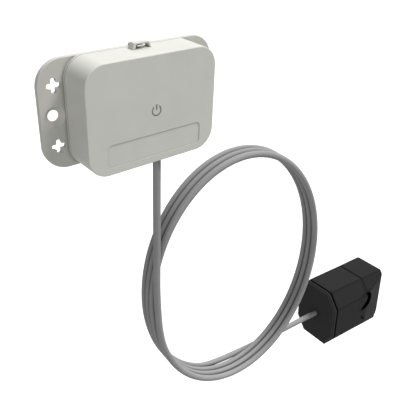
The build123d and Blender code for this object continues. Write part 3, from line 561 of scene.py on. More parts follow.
@dataclass(frozen=True)
class Finish:
    """What all finishes share: a name, a colour and a way to become a material."""

    name: str
    colour: Shade
    roughness: float
    specular: float = 0.5

    def tone(self, share: float) -> Shade:
        """Return the colour made lighter or darker by this share."""
        red, green, blue = (min(1.0, value * share) for value in self.colour[:3])
        return (red, green, blue, 1.0)

    def surface(self, sheet: NodeSheet) -> Inputs:
        """Return the shader's inputs that make the surface."""
        raise NotImplementedError

    def build(self) -> bpy.types.Material:
        """Make the finish's material.

        Returns:
            The material.
        """
        material = bpy.data.materials.new(self.name)
        material.use_nodes = True
        sheet = NodeSheet(material.node_tree)
        inputs = {**self.surface(sheet), "Specular IOR Level": self.specular}
        shader = sheet.node("ShaderNodeBsdfPrincipled", {}, inputs)
        sheet.node("ShaderNodeOutputMaterial", {}, {"Surface": shader})
        return material


@dataclass(frozen=True)
class MouldedPlastic(Finish):
    """Matt moulded plastic: eroded grain, faint mottling, smoother edges with a painted shade or
    highlight, and painted shade in nooks.
    """

    grain: float = 0.22
    grain_depth: float = 0.012
    mottle: float = 0.035
    # Below 1 paints shade along the edges, above 1 paints a highlight there.
    painted_edge_tone: float = 0.97
    edge_reach: float = 0.35
    # Share of the colour left where shade is painted into corners, gaps and recesses.
    nook_shade_tone: float = 0.36
    nook_reach: float = 0.8
    patch: float = 14.0
    speck: float = 0.9
    # Size of the patches that vary the edges' smoothness and their painted shade or highlight.
    edge_patch: float = 2.5

    def surface(self, sheet: NodeSheet) -> Inputs:
        """Lay out the surface.

        Args:
            sheet: The node tree.

        Returns:
            The shader's inputs.
        """
        patches = sheet.ramp(sheet.noise(self.patch, 4.0), (0.3, 0.0), (0.7, 1.0))
        specks = sheet.noise(self.speck, 2.0)
        light, dark = self.tone(1 + self.mottle), self.tone(1 - self.mottle)
        mottled = sheet.mix(patches * 0.7 + specks * 0.3, dark, light)
        # Edge mask: it makes the edges smoother and carries their painted shade or highlight.
        edge_wear_and_painted_light = sheet.edges(self.edge_reach) * (0.75 + sheet.noise(self.edge_patch, 3.0) * 0.5)
        grain = sheet.cells(self.grain) * 0.6 + sheet.noise(self.grain * 1.7, 2.0) * 0.8
        # Painted shade or highlight along the edges.
        with_painted_edges = sheet.mix(edge_wear_and_painted_light, mottled, self.tone(self.painted_edge_tone))
        # Painted shade in corners, gaps and recesses.
        shade_mask = sheet.shade_mask(self.nook_reach)
        return {
            "Base Color": sheet.mix(shade_mask, with_painted_edges, self.tone(self.nook_shade_tone)),
            "Roughness": self.roughness - 0.05 + patches * 0.06 + specks * 0.04 - edge_wear_and_painted_light * 0.1,
            "Normal": sheet.bump(grain, self.grain_depth, 0.6),
        }


@dataclass(frozen=True)
class SoftJacket(Finish):
    """Extruded lead jacket: fine skin, dull bloom, handling marks and painted shade in the gaps.
    """

    bloom: float = 22.0
    skin: float = 0.5
    mark: float = 3.2
    # Share of the colour left where shade is painted into the gaps between strands.
    gap_shade_tone: float = 0.5
    gap_reach: float = 4.0

    def surface(self, sheet: NodeSheet) -> Inputs:
        """Lay out the surface.

        Args:
            sheet: The node tree.

        Returns:
            The shader's inputs.
        """
        bloom = sheet.ramp(sheet.noise(self.bloom, 3.0), (0.35, 0.0), (0.65, 1.0))
        fine = sheet.noise(self.skin, 4.0)
        marks = sheet.ramp(sheet.noise(self.mark, 5.0), (0.55, 0.0), (0.72, 1.0))
        bloomed = sheet.mix(bloom * 0.6 + fine * 0.4, self.tone(0.93), self.tone(1.07))
        marked = sheet.mix(marks * 0.18, bloomed, self.tone(1.2))
        return {
            # Painted shade in the gaps between strands and next to other parts.
            "Base Color": sheet.mix(sheet.shade_mask(self.gap_reach), marked, self.tone(self.gap_shade_tone)),
            "Roughness": self.roughness + bloom * 0.08 - marks * 0.1,
            "Normal": sheet.bump(fine + marks * 0.3, 0.02, 0.5),
        }


@dataclass(frozen=True)
class SoftRubber(Finish):
    """Dull rubber with a fine matt skin."""

    bloom: float = 6.0
    skin: float = 0.35

    def surface(self, sheet: NodeSheet) -> Inputs:
        """Lay out the surface.

        Args:
            sheet: The node tree.

        Returns:
            The shader's inputs.
        """
        fine = sheet.noise(self.skin, 5.0)
        bloom = sheet.noise(self.bloom, 3.0)
        return {
            "Base Color": sheet.mix(bloom, self.tone(0.85), self.tone(1.2)),
            "Roughness": self.roughness + fine * 0.1,
            "Normal": sheet.bump(fine, 0.02, 0.6),
        }


@dataclass(frozen=True)
class WorkedMetal(Finish):
    """Plated or drawn metal with fine lines and dull spots."""

    lines: Triple = (1.0, 1.0, 12.0)
    line: float = 0.8
    spot: float = 3.0

    def surface(self, sheet: NodeSheet) -> Inputs:
        """Lay out the surface.

        Args:
            sheet: The node tree.

        Returns:
            The shader's inputs.
        """
        drawn = sheet.noise(self.line, 6.0, sheet.place(Scale=self.lines))
        dull = sheet.ramp(sheet.noise(self.spot, 4.0), (0.4, 0.0), (0.7, 1.0))
        return {
            "Base Color": sheet.mix(dull, self.colour, self.tone(0.8)),
            "Roughness": self.roughness + dull * 0.15 + drawn * 0.1,
            "Metallic": 1.0 - dull * 0.08,
            "Normal": sheet.bump(drawn, 0.006, 0.5),
        }


@dataclass(frozen=True)
class Laminate(Finish):
    """Circuit board: lacquer over copper tracks and a glass weave."""

    track: Shade = (0.05, 0.2, 0.06, 1.0)
    track_scale: float = 260.0
    weave: float = 0.4

    def surface(self, sheet: NodeSheet) -> Inputs:
        """Lay out the surface.

        Args:
            sheet: The node tree.

        Returns:
            The shader's inputs.
        """
        black, white = (0.0, 0.0, 0.0, 1.0), (1.0, 1.0, 1.0, 1.0)
        tracks = {
            "Vector": sheet.place(Rotation=(math.pi / 2, 0.0, 0.0)),
            "Scale": self.track_scale,
            "Mortar Size": 0.06,
            "Color1": black,
            "Color2": black,
            "Mortar": white,
        }
        grid = sheet.node("ShaderNodeTexBrick", {"offset": 0.37, "squash": 1.6}, tracks)
        weave = sheet.noise(self.weave, 2.0)
        return {
            "Base Color": sheet.mix(grid, self.colour, self.track),
            "Roughness": self.roughness + weave * 0.12,
            "Coat Weight": 0.35,
            "Normal": sheet.bump(grid * 0.6 + weave * 0.3, 0.03, 0.6),
        }


@dataclass(frozen=True)
class EnamelWire(Finish):
    """Close layers of enamelled wire."""

    pitch: float = 0.7
    full_wave: float = 314.0  # how often a Wave texture of scale 1 repeats, in mm

    def surface(self, sheet: NodeSheet) -> Inputs:
        """Lay out the surface.

        Args:
            sheet: The node tree.

        Returns:
            The shader's inputs.
        """
        bands = {"wave_type": "BANDS", "bands_direction": "Z", "wave_profile": "SIN"}
        layers = {"Vector": sheet.place(), "Scale": self.full_wave / self.pitch}
        layers |= {"Distortion": 0.4, "Detail": 1.0}
        turns = sheet.node("ShaderNodeTexWave", bands, layers)
        return {
            # Darker between the turns: painted shade in the grooves between the wires.
            "Base Color": sheet.mix(turns, self.tone(0.35), self.colour),
            "Roughness": self.roughness + (1.0 - turns) * 0.2,
            "Metallic": 0.85 - (1.0 - turns) * 0.2,
            "Normal": sheet.bump(turns, 0.15, 0.8),
        }


CASE_PLASTIC = MouldedPlastic("case_plastic", plain_colour(200, 200, 194), 0.6, 0.2)
# The case's plastic painted a little darker as shade on the plate, with painted shade in its
# corners, at the case and in the screw sinks.
PLATE_PLASTIC_SHADED = MouldedPlastic(
    "plate_plastic", plain_colour(193, 193, 186), 0.62, 0.2, nook_shade_tone=0.45, nook_reach=2.2
)
# Painted dark outlines along the edges, and deep painted shade inside the window, seams and slots.
CLAMP_PLASTIC = MouldedPlastic(
    "clamp_plastic",
    soft_grey(39),
    0.7,
    0.05,
    grain=0.3,
    grain_depth=0.02,
    mottle=0.08,
    painted_edge_tone=0.45,
    edge_reach=2.2,
    nook_shade_tone=0.05,
    nook_reach=18.0,
)
# Lighter than the clamp's plastic, with a painted highlight along its edges and painted shade
# round the lead and in the seam.
CAP_PLASTIC = replace(
    CLAMP_PLASTIC,
    name="cap_plastic",
    colour=soft_grey(48),
    painted_edge_tone=2.2,
    edge_reach=1.0,
    nook_reach=8.0,
)
CORD_JACKET = SoftJacket("cord_jacket", soft_grey(147), 0.65, 0.05)
GLAND_RUBBER = SoftRubber("gland_rubber", soft_grey(70), 0.75, 0.3)
# Near-black, so that the ring in the clamp cap's seam paints the seam's shade.
SEAM_SHADE_RUBBER = SoftRubber("gasket_rubber", soft_grey(6), 0.8, 0.1)
SEAL_RUBBER = SoftRubber("seal_rubber", soft_grey(52), 0.7, 0.3)
SYMBOL_PAINT = SoftRubber("symbol_paint", plain_colour(126, 126, 120), 0.7, 0.2)
STEEL = WorkedMetal("steel", plain_colour(200, 200, 204), 0.3)
SHIELD = WorkedMetal("shield_metal", plain_colour(214, 214, 218), 0.25, lines=(12.0, 1.0, 1.0))
CHIP = MouldedPlastic("chip_black", soft_grey(34), 0.5, 0.4, grain=0.15)
CERAMIC = MouldedPlastic("antenna_ceramic", plain_colour(232, 226, 208), 0.4)
SLEEVE = MouldedPlastic("capacitor_sleeve", plain_colour(40, 46, 64), 0.25, grain_depth=0.002)
HOLDER = MouldedPlastic("holder_plastic", soft_grey(44), 0.55, 0.4)
CELL_WRAP = MouldedPlastic("cell_wrap", plain_colour(70, 150, 96), 0.22, grain_depth=0.002)
HEADER = MouldedPlastic("header_plastic", plain_colour(236, 232, 218), 0.45)
WIRE = SoftJacket("wire_insulation", soft_grey(48), 0.4, 0.5)
FERRITE = MouldedPlastic("ferrite", plain_colour(74, 74, 78), 0.42, 0.6, grain=0.12, mottle=0.15)
COPPER = EnamelWire("winding_copper", plain_colour(205, 120, 64), 0.3)
BOBBIN = MouldedPlastic("bobbin_plastic", plain_colour(214, 206, 178), 0.5)
BOARD = Laminate("board_laminate", plain_colour(22, 92, 48), 0.35)

NODE_FINISHES: tuple[tuple[Finish, tuple[str, ...]], ...] = (
    (SEAL_RUBBER, ("seal_ring",)),
    (CHIP, ("tact_switch", "board_chips", "burden_parts")),
    (STEEL, ("switch_plunger", "board_screws", "cell_spring", "cell_contact")),
    (STEEL, ("clamp_hinge_pin", "clamp_core_spring")),
    (BOARD, ("circuit_board", "burden_board")),
    (SHIELD, ("radio_module",)),
    (CERAMIC, ("board_antenna",)),
    (SLEEVE, ("board_capacitors",)),
    (HOLDER, ("cell_holder",)),
    (CELL_WRAP, ("battery_cell",)),
    (HEADER, ("lead_header", "lead_plug")),
    (WIRE, ("lead_wires", "clamp_wires")),
    (FERRITE, ("clamp_core_fixed", "clamp_core_moving")),
    (BOBBIN, ("clamp_bobbin",)),
    (COPPER, ("clamp_winding",)),
    (GLAND_RUBBER, ("clamp_collar",)),
)


@dataclass
class Workshop:
    """Dresses pieces, hangs them on their bodies' empties and hides the nodes they replace."""

    materials: dict[str, bpy.types.Material] = field(default_factory=dict)

    def material(self, finish: Finish) -> bpy.types.Material:
        """Find a finish's material, made on its first use.

        Args:
            finish: The finish.

        Returns:
            Its material.
        """
        if finish.name not in self.materials:
            self.materials[finish.name] = finish.build()
        return self.materials[finish.name]

    def dress(self, piece: Piece, finish: Finish, place: Placement) -> None:
        """Move a finished drawing into the model and give it its finish and shading.

        Args:
            piece: The mesh.
            finish: Its finish.
            place: Where it lies in the model.
        """
        mesh = piece.data
        mesh.transform(place.matrix())
        mesh.materials.clear()
        mesh.materials.append(self.material(finish))
        mesh.polygons.foreach_set("use_smooth", [True] * len(mesh.polygons))
        mesh.set_sharp_from_angle(angle=math.radians(SHARP_ANGLE))
        normals = piece.modifiers.new("even_normals", "WEIGHTED_NORMAL")
        normals.keep_sharp = True

    def place(self, piece: Piece, body: Body, slot: str, *replaced: str) -> None:
        """Let a piece ride on its body and stand for the nodes it replaces.

        Args:
            piece: The dressed piece.
            body: The body that it rides on.
            slot: The record's material slot. Not used.
            *replaced: The nodes that it stands for.
        """
        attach(piece, body.value)
        if replaced:
            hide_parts(*replaced)
        log.info("%s rides on %s", piece.name, body.value)

    def dress_nodes(self, nodes: Mapping[str, Piece]) -> None:
        """Give each kept node of the model its finish.

        Args:
            nodes: The model's nodes by name.
        """
        for finish, names in NODE_FINISHES:
            for name in names:
                piece = nodes[name]
                if not piece.material_slots:
                    piece.data.materials.append(self.material(finish))
                for slot in piece.material_slots:
                    slot.material = self.material(finish)
                log.info("%s keeps its shape and gets %s", name, finish.name)


@dataclass
class Part:
    """A sub-assembly whose methods work on one piece at a time."""

    shop: Workshop
    piece: Piece = field(init=False)

    def add(self, *tools: Piece) -> None:
        """Join meshes to the piece."""
        combine(self.piece, Join.ADD, *tools)

    def cut(self, *tools: Piece) -> None:
        """Cut meshes out of the piece."""
        combine(self.piece, Join.CUT, *tools)

    def deliver(
        self, finish: Finish, place: Placement, body: Body, slot: str, *replaced: str
    ) -> None:
        """Dress the finished piece and put it in its place."""
        self.shop.dress(self.piece, finish, place)
        self.shop.place(self.piece, body, slot, *replaced)


# The wall case


@dataclass
class WallPlate(Part):
    """The plate on the wall, with its holes, rim, posts and the latch tongue's seat."""

    size: Pair = (94.0, 50.6)
    corner: float = 12.2
    thick: float = 2.4
    edge: float = 0.4
    screw_x: float = 40.0
    screw_r: float = 2.5
    sink_r: float = 5.0
    cross_x: float = 39.4
    cross_z: float = 13.9
    cross_drop: float = 0.1
    cross_size: Pair = (6.7, 2.35)
    rim_size: Pair = (65.7, 47.1)
    rim_corner: float = 8.05
    rim_wall: float = 1.2
    rim_top: float = 4.3
    posts_x: Pair = (-26.5, 26.5)
    posts_z: Pair = (-16.0, 1.5)
    post_top: float = 4.6
    post_r: float = 2.0
    pilot_r: float = 1.0
    neck_r: float = 2.8
    seat_r: float = 0.6
    seat_sides: Pair = (-1.1, 1.9)

    def blank(self) -> Piece:
        """Build the bare plate.

        Returns:
            The plate with rounded edges.
        """
        steps = [(0.0, 0.25), (0.1, 0.05), (0.3, 0.0)]
        steps += [(self.thick - self.edge + rise, inset) for rise, inset in quarter(self.edge)]
        shape = partial(rounded_rectangle, self.size, self.corner, (0, 0), 20)
        return stack("wall_plate", shape, steps)

    def cut_holes(self) -> None:
        """Cut the screw holes with their sinks and the four cross slots."""
        top = self.thick
        sink = (
            (-PAST, self.screw_r + 0.3),
            (0.0, self.screw_r + 0.12),
            (0.12, self.screw_r),
            (max(top - (self.sink_r - self.screw_r), 0.25), self.screw_r),
            (top - 0.08, self.sink_r - 0.12),
            (top, self.sink_r + 0.02),
            (top + PAST, self.sink_r + 0.4),
        )
        slot = ((-PAST, 0.3), (1.3, 0.2), (top - 0.25, 0.0), (top + PAST, 0.06))
        for side in (-1, 1):
            self.cut(turned("sink", sink, (side * self.screw_x, 0.0), 64))
            for up in (-1, 1):
                middle = (side * self.cross_x, up * self.cross_z - self.cross_drop)
                shape = partial(cross, *self.cross_size, middle)
                self.cut(stack("cross", shape, slot))

    def add_inside(self) -> None:
        """Add the locating rim, the board's posts and the filler under the gland."""
        sunk = self.thick - PAST
        outer = rounded_rectangle(self.rim_size, self.rim_corner)
        inner = rounded_rectangle(self.rim_size, self.rim_corner, inset=self.rim_wall)
        self.add(sleeve("rim", inner, outer, (sunk, self.rim_top)))
        top, radius = self.post_top, self.post_r
        post = ((self.thick - 0.3, radius), (top - 0.1, radius), (top, radius - 0.1))
        pilot = ((1.0, self.pilot_r), (top + PAST, self.pilot_r))
        for x in self.posts_x:
            for z in self.posts_z:
                self.add(turned("post", post, (x, z), 32))
                self.cut(turned("pilot", pilot, (x, z), 32))
        self.add(block("filler", (sunk, 14.0), (1.7, 7.1), (-25.3, -23.95)))
        neck = circle(self.neck_r, LEAD_MIDDLE, 48)
        self.cut(prism("neck", neck, (-23.0, -27.0), level_ring))

    def cut_seat(self) -> None:
        """Cut the latch tongue's seat in the top edge."""
        seat = circle(self.seat_r, LATCH_PIVOT, 32)
        self.cut(prism("seat", seat, self.seat_sides, side_ring))
        self.cut(block("throat", (-0.3, 1.2), self.seat_sides, (LATCH_PIVOT[1], 25.8)))

    def build(self) -> None:
        """Build and place the plate."""
        self.piece = self.blank()
        self.add_inside()
        self.cut_seat()
        self.cut_holes()
        self.deliver(PLATE_PLASTIC_SHADED, WALL, Body.METER, "plate_plastic", "back_plate")


@dataclass
class FrontCase(Part):
    """The hollow front of the case with its hood, label recess and button hole."""

    size: Pair = (69.8, 51.2)
    corner: float = 10.1
    wall: float = 1.8
    back: float = 2.4
    edge: float = 0.45
    seam: float = 3.8
    seam_width: float = 0.3
    seam_cut: float = 0.35
    label_middle: Pair = (0.6, -16.45)
    label_size: Pair = (51.9, 11.0)
    label_cut: float = 0.3
    label_corner: float = 2.4
    hood_x: float = 0.8
    hood_back: float = 5.7
    hood_front: float = 9.4
    hood_top: float = 28.4
    hood_half_top: float = 4.1
    hood_half_foot: float = 5.1
    hood_edge: float = 0.22
    mouth_top: float = 27.6
    hole_r: float = 2.72
    guide_radii: Pair = (3.65, 4.8)
    guide_ends: Pair = (18.8, 15.0)
    bar_size: Pair = (0.84, 1.6)
    bar_up: float = 2.2
    tip_size: Pair = (0.8, 0.3)
    tip_up: float = 2.84
    notch_half: float = 2.8

    def shell(self) -> Piece:
        """Build the hollow shell with its rounded front edge and its seam groove.

        Returns:
            The shell, open at the back.
        """
        wall, back = self.wall, self.back
        roof = CASE_FRONT - wall
        low, high = self.seam - self.seam_width / 2, self.seam + self.seam_width / 2
        lip = ((-0.08, 0.0), (-0.02, 0.03), (0.0, 0.12), (0.04, self.seam_cut))
        steps = [(roof, wall + 0.6), (roof - 0.15, wall + 0.15), (roof - 0.6, wall)]
        steps += [(back + 0.1, wall), (back, wall - 0.1), (back, 0.12), (back + 0.12, 0.0)]
        steps += [(low + rise, inset) for rise, inset in lip]
        steps += [(high - rise, inset) for rise, inset in reversed(lip)]
        steps += [(CASE_FRONT - self.edge + rise, inset) for rise, inset in quarter(self.edge, 8)]
        shape = partial(rounded_rectangle, self.size, self.corner, (0, 0), 20)
        return stack("case_front_shell", shape, steps)

    def hood_loop(self, shrink: float) -> Loop:
        """Draw the hood's front view, narrower at the top.

        Args:
            shrink: How far it is drawn in.

        Returns:
            The outline.
        """
        foot = self.size[1] / 2
        high, low = self.hood_top - shrink, foot - 0.6
        narrow, wide = self.hood_half_top - shrink, self.hood_half_foot - shrink
        sides = ((narrow, high), (-narrow, high), (-wide, foot), (-wide, low))
        sides += ((wide, low), (wide, foot))
        corners = [(self.hood_x + x, z) for x, z in sides]
        return round_corners(corners, [0.5, 0.5, 0.2, 0.05, 0.05, 0.2], 5)

    def mouth_loop(self, grow: float) -> Loop:
        """Draw the hood's opening, narrower at the top.

        Args:
            grow: How far it is moved out.

        Returns:
            The outline.
        """
        high, low = self.mouth_top + grow, self.size[1] / 2 + 0.01
        corners = ((4.3 + grow, high), (-1.9 - grow, high), (-2.6 - grow, low), (5.0 + grow, low))
        return round_corners(corners, [0.25, 0.25, 0.03, 0.03], 4)

    def add_hood(self) -> None:
        """Add the hood over the latch tongue and cut its opening."""
        back, front = self.hood_back, self.hood_front
        edge = quarter(self.hood_edge, 4)
        steps = [(back + self.hood_edge - rise, inset) for rise, inset in reversed(edge)]
        steps += [(front - self.hood_edge + rise, inset) for rise, inset in edge]
        self.add(stack("hood", self.hood_loop, steps))
        mouth = ((back - 0.5, 0.2), (back, 0.12), (back + 0.2, 0.0))
        mouth += ((front - 0.2, 0.0), (front, 0.12), (front + 0.5, 0.2))
        self.cut(stack("mouth", self.mouth_loop, mouth))
        self.cut(block("pocket", (6.3, 8.1), (-0.65, 1.45), (27.4, 28.1)))

    def cut_label(self) -> None:
        """Cut the shallow recess for a label, with a soft rim and floor edge."""
        floor, rim = CASE_FRONT - self.label_cut, CASE_FRONT
        steps = ((floor, 0.12), (floor + 0.03, 0.04), (floor + 0.1, 0.0))
        steps += ((rim - 0.04, 0.0), (rim + 0.01, -0.04), (rim + 0.3, -0.3))
        place = (self.label_corner, self.label_middle, 14)
        self.cut(stack("label", partial(rounded_rectangle, self.label_size, *place), steps))

    def cut_button(self) -> None:
        """Add the button's guide, cut its hole and the end of the symbol's bar."""
        inner, outer = (circle(radius, BUTTON_MIDDLE, 64) for radius in self.guide_radii)
        self.add(sleeve("guide", inner, outer, self.guide_ends))
        rim = (CASE_FRONT, self.hole_r - 0.02)
        profile = ((18.0, self.hole_r), (CASE_FRONT - 0.1, self.hole_r), rim, (20.7, rim[1]))
        self.cut(turned("hole", profile, BUTTON_MIDDLE, 96))
        x, z = BUTTON_MIDDLE
        bar = rounded_rectangle(self.bar_size, 0.37, (x, z + self.bar_up), 6)
        self.cut(prism("bar", bar, (19.95, 20.7)))

    def cut_notch(self) -> None:
        """Cut the notch for the lead's gland, open at the back."""
        x, depth = LEAD_MIDDLE
        left, right, deep = x - self.notch_half, x + self.notch_half, depth + self.notch_half
        corners = ((right, deep), (left, deep), (left, 2.0), (right, 2.0))
        loop = round_corners(corners, [2.79, 2.79, 0.02, 0.02], 10)
        self.cut(prism("notch", loop, (-23.0, -26.5), level_ring))

    def build(self) -> None:
        """Build and place the front case and the paint in the end of the symbol's bar."""
        self.piece = self.shell()
        self.add_hood()
        self.cut_label()
        self.cut_button()
        self.cut_notch()
        self.deliver(CASE_PLASTIC, WALL, Body.METER, "case_plastic", "case_front")
        x, z = BUTTON_MIDDLE
        fill = rounded_rectangle(self.tip_size, 0.12, (x, z + self.tip_up), 5)
        self.piece = prism("symbol_tip", fill, (19.9, 20.34))
        self.deliver(SYMBOL_PAINT, WALL, Body.METER, "case_plastic")


@dataclass
class PowerButton(Part):
    """The small round button whose face carries the power symbol."""

    radius: float = 2.65
    symbol_r: float = 1.95
    symbol_cut: float = 0.45
    low: float = 0.06  # how far the paint and the cap's rounded rim lie below the face
    gap_angle: float = 38.0
    arc_steps: int = 60
    bar_size: Pair = (0.84, 3.4)
    bar_up: float = 1.86
    fill_size: Pair = (0.8, 2.5)
    fill_up: float = 1.36

    def symbol_ring(self, name: str, outer_r: float, ends: Pair) -> Piece:
        """Build the symbol's ring, open at the top.

        Args:
            name: The piece's name.
            outer_r: Its outer radius.
            ends: Where it starts and ends.

        Returns:
            The new object.
        """
        start = math.radians(90 + self.gap_angle)
        turn = math.radians(360 - 2 * self.gap_angle)
        turns = [start + turn * step / self.arc_steps for step in range(self.arc_steps + 1)]
        x, z = BUTTON_MIDDLE
        loop = [(x + outer_r * math.cos(a), z + outer_r * math.sin(a)) for a in turns]
        inner_r = self.symbol_r
        loop += [(x + inner_r * math.cos(a), z + inner_r * math.sin(a)) for a in reversed(turns)]
        return prism(name, loop, ends)

    def build(self) -> None:
        """Build and place the button and the paint in its symbol."""
        profile = [(10.0, 1.3), (10.1, 1.4), (17.7, 1.4), (17.7, 3.4), (17.8, 3.5), (18.4, 3.5)]
        profile += [(18.5, 3.4), (18.5, self.radius), (CASE_FRONT - self.low, self.radius)]
        profile += [(CASE_FRONT, self.radius - self.low)]
        self.piece = turned("button_cap", profile, BUTTON_MIDDLE, 72)
        x, z = BUTTON_MIDDLE
        floor = CASE_FRONT - self.symbol_cut
        carved = (floor, CASE_FRONT + 0.3)
        bar = rounded_rectangle(self.bar_size, 0.4, (x, z + self.bar_up), 6)
        self.cut(self.symbol_ring("ring", self.radius + PAST, carved))
        self.cut(prism("bar", bar, carved))
        self.deliver(CASE_PLASTIC, WALL, Body.BUTTON, "case_plastic", "power_button")
        filled = (floor - 0.05, CASE_FRONT - self.low)
        self.piece = self.symbol_ring("symbol_fill", self.radius, filled)
        fill = rounded_rectangle(self.fill_size, 0.37, (x, z + self.fill_up), 6)
        self.add(prism("bar", fill, filled))
        self.deliver(SYMBOL_PAINT, WALL, Body.BUTTON, "case_plastic")


@dataclass
class LatchTongue(Part):
    """The tongue that rises through the hood and frees the case when it is pressed down."""

    root: float = 0.4
    tip_root: float = 7.6
    sides: Pair = (-0.8, 1.6)
    tip_sides: Pair = (-1.8, 1.6)
    hook_sides: Pair = (-0.35, 1.15)
    hook: tuple[Pair, ...] = ((7.8, 27.9), (6.6, 27.9), (6.6, 26.7), (7.8, 26.7))
    bead_r: float = 0.5

    def arm(self, name: str, root: float, sides: Pair) -> Piece:
        """Build the arm, or only its tip.

        Args:
            name: The piece's name.
            root: Distance from the wall at which the shape starts.
            sides: Its two sides.

        Returns:
            The new object.
        """
        low = 25.65 + 1.1 * ((root - LATCH_PIVOT[0]) / 9.05)
        corners = ((root, low), (root, low + 0.7), (9.35, 27.36), (9.8, 27.1), (9.8, 26.75))
        loop = round_corners(corners, [0.03, 0.03, 0.3, 0.12, 0.12], 4)
        return prism(name, loop, sides, side_ring)

    def build(self) -> None:
        """Build and place the tongue."""
        self.piece = self.arm("latch_arm", self.root, self.sides)
        self.add(self.arm("tip", self.tip_root, self.tip_sides))
        self.add(block("neck", (self.root, 1.1), self.sides, (24.5, 26.2)))
        bead = circle(self.bead_r, LATCH_PIVOT, 32)
        self.add(prism("bead", bead, self.sides, side_ring))
        hook = round_corners(self.hook, [0.4, 0.1, 0.02, 0.02], 4)
        self.add(prism("hook", hook, self.hook_sides, side_ring))
        self.deliver(CASE_PLASTIC, WALL, Body.LATCH, "plate_plastic", "latch_tongue")


@dataclass
class LeadGland(Part):
    """The rubber gland where the lead leaves the case."""

    neck: float = 2.7
    flange: float = 3.1
    bore: float = 2.03

    def build(self) -> None:
        """Build and place the gland."""
        neck, flange = self.neck, self.flange
        profile = [(-26.7, 2.45), (-26.62, 2.85), (-26.4, 3.05), (-26.2, flange), (-25.75, flange)]
        profile += [(-25.7, 3.0), (-25.7, neck), (-23.7, neck), (-23.7, 3.0)]
        profile += [(-23.6, flange), (-22.7, flange), (-22.5, 2.9)]
        self.piece = turned("lead_gland", profile, LEAD_MIDDLE, 48, level_ring)
        bore = circle(self.bore, LEAD_MIDDLE, 48)
        self.cut(prism("bore", bore, (-27.5, -21.5), level_ring))
        self.deliver(GLAND_RUBBER, WALL, Body.METER, "gland_rubber", "cord_gland")


# The lead


@dataclass
class Lead(Part):
    """The free lead: a straight drop, the loops, and the run into the clamp."""

    thick: float = 4.0
    exit_x: float = LEAD_MIDDLE[0]
    depth: float = LEAD_MIDDLE[1]
    drop: tuple[float, ...] = (-21.5, -60.0, -90.0, -115.0)
    loop_top: float = -125.6
    half_width: float = 63.3
    half_height: float = 84.2
    lean: float = -0.047
    yaw: float = -4.73
    first_pitch: float = 4.6
    pitch: float = 4.44
    turns: float = 3.25
    points_per_turn: int = 24
    last_run: float = 26.0
    clamp_run: Pair = (-16.0, 6.0)
    length: float = 1718.9

    def axes(self) -> tuple[Vector, Vector, Vector]:
        """Lay out the loops.

        Returns:
            Their centre and their directions along and across the wall.
        """
        yaw = math.radians(self.yaw)
        along = Vector((math.cos(yaw), math.sin(yaw), 0))
        across = Vector((-math.sin(yaw), math.cos(yaw), 0))
        start = Vector((self.exit_x, -self.depth, self.loop_top))
        return start + along * self.half_width, along, across

    def loop_points(self) -> list[Vector]:
        """Lay the loops' control points, set out a little so that the line keeps its size.

        Returns:
            The points in millimetres.
        """
        centre, along, across = self.axes()
        count = round(self.turns * self.points_per_turn)
        out = 1 / math.cos(math.pi / self.points_per_turn)
        points = []
        for step in range(1, count):
            turn = self.turns * step / count
            angle = math.pi + 2 * math.pi * turn
            lean = self.lean * self.half_height * math.sin(angle)
            width = self.half_width * math.cos(angle) + lean
            forward = self.first_pitch * min(turn, 1) + self.pitch * max(turn - 1, 0)
            rise = Vector((0, 0, self.half_height * math.sin(angle) * out))
            points.append(centre + along * width * out + across * forward + rise)
        return points

    def route(self) -> list[Vector]:
        """Lay the whole route from the case to the clamp.

        Returns:
            The control points in millimetres.
        """
        centre, along, across = self.axes()
        forward = self.first_pitch + self.pitch * (self.turns - 1)
        foot = centre - along * self.lean * self.half_height + across * forward
        foot = foot - Vector((0, 0, self.half_height))
        drop = [Vector((self.exit_x, -self.depth, z)) for z in self.drop]
        clamp = [CLAMP.on_axis(w) for w in self.clamp_run]
        return drop + self.loop_points() + [foot + along * self.last_run] + clamp

    def build(self) -> None:
        route = self.route()
        data = bpy.data.curves.new("lead", "CURVE")
        data.dimensions = "3D"
        data.bevel_depth = self.thick / 2 * MM
        data.bevel_resolution = 8
        data.resolution_u = 6
        data.use_fill_caps = True
        line = data.splines.new("NURBS")
        line.points.add(len(route) - 1)
        for control, spot in zip(line.points, route):
            control.co = (*(spot * MM), 1.0)
        line.order_u = 3
        line.use_endpoint_u = True
        lead = add_object("lead", data)
        data.materials.append(self.shop.material(CORD_JACKET))
        self.shop.place(lead, Body.METER, "cord_jacket", "cord_drop", "cord_coil", "cord_lead")


# The clamp


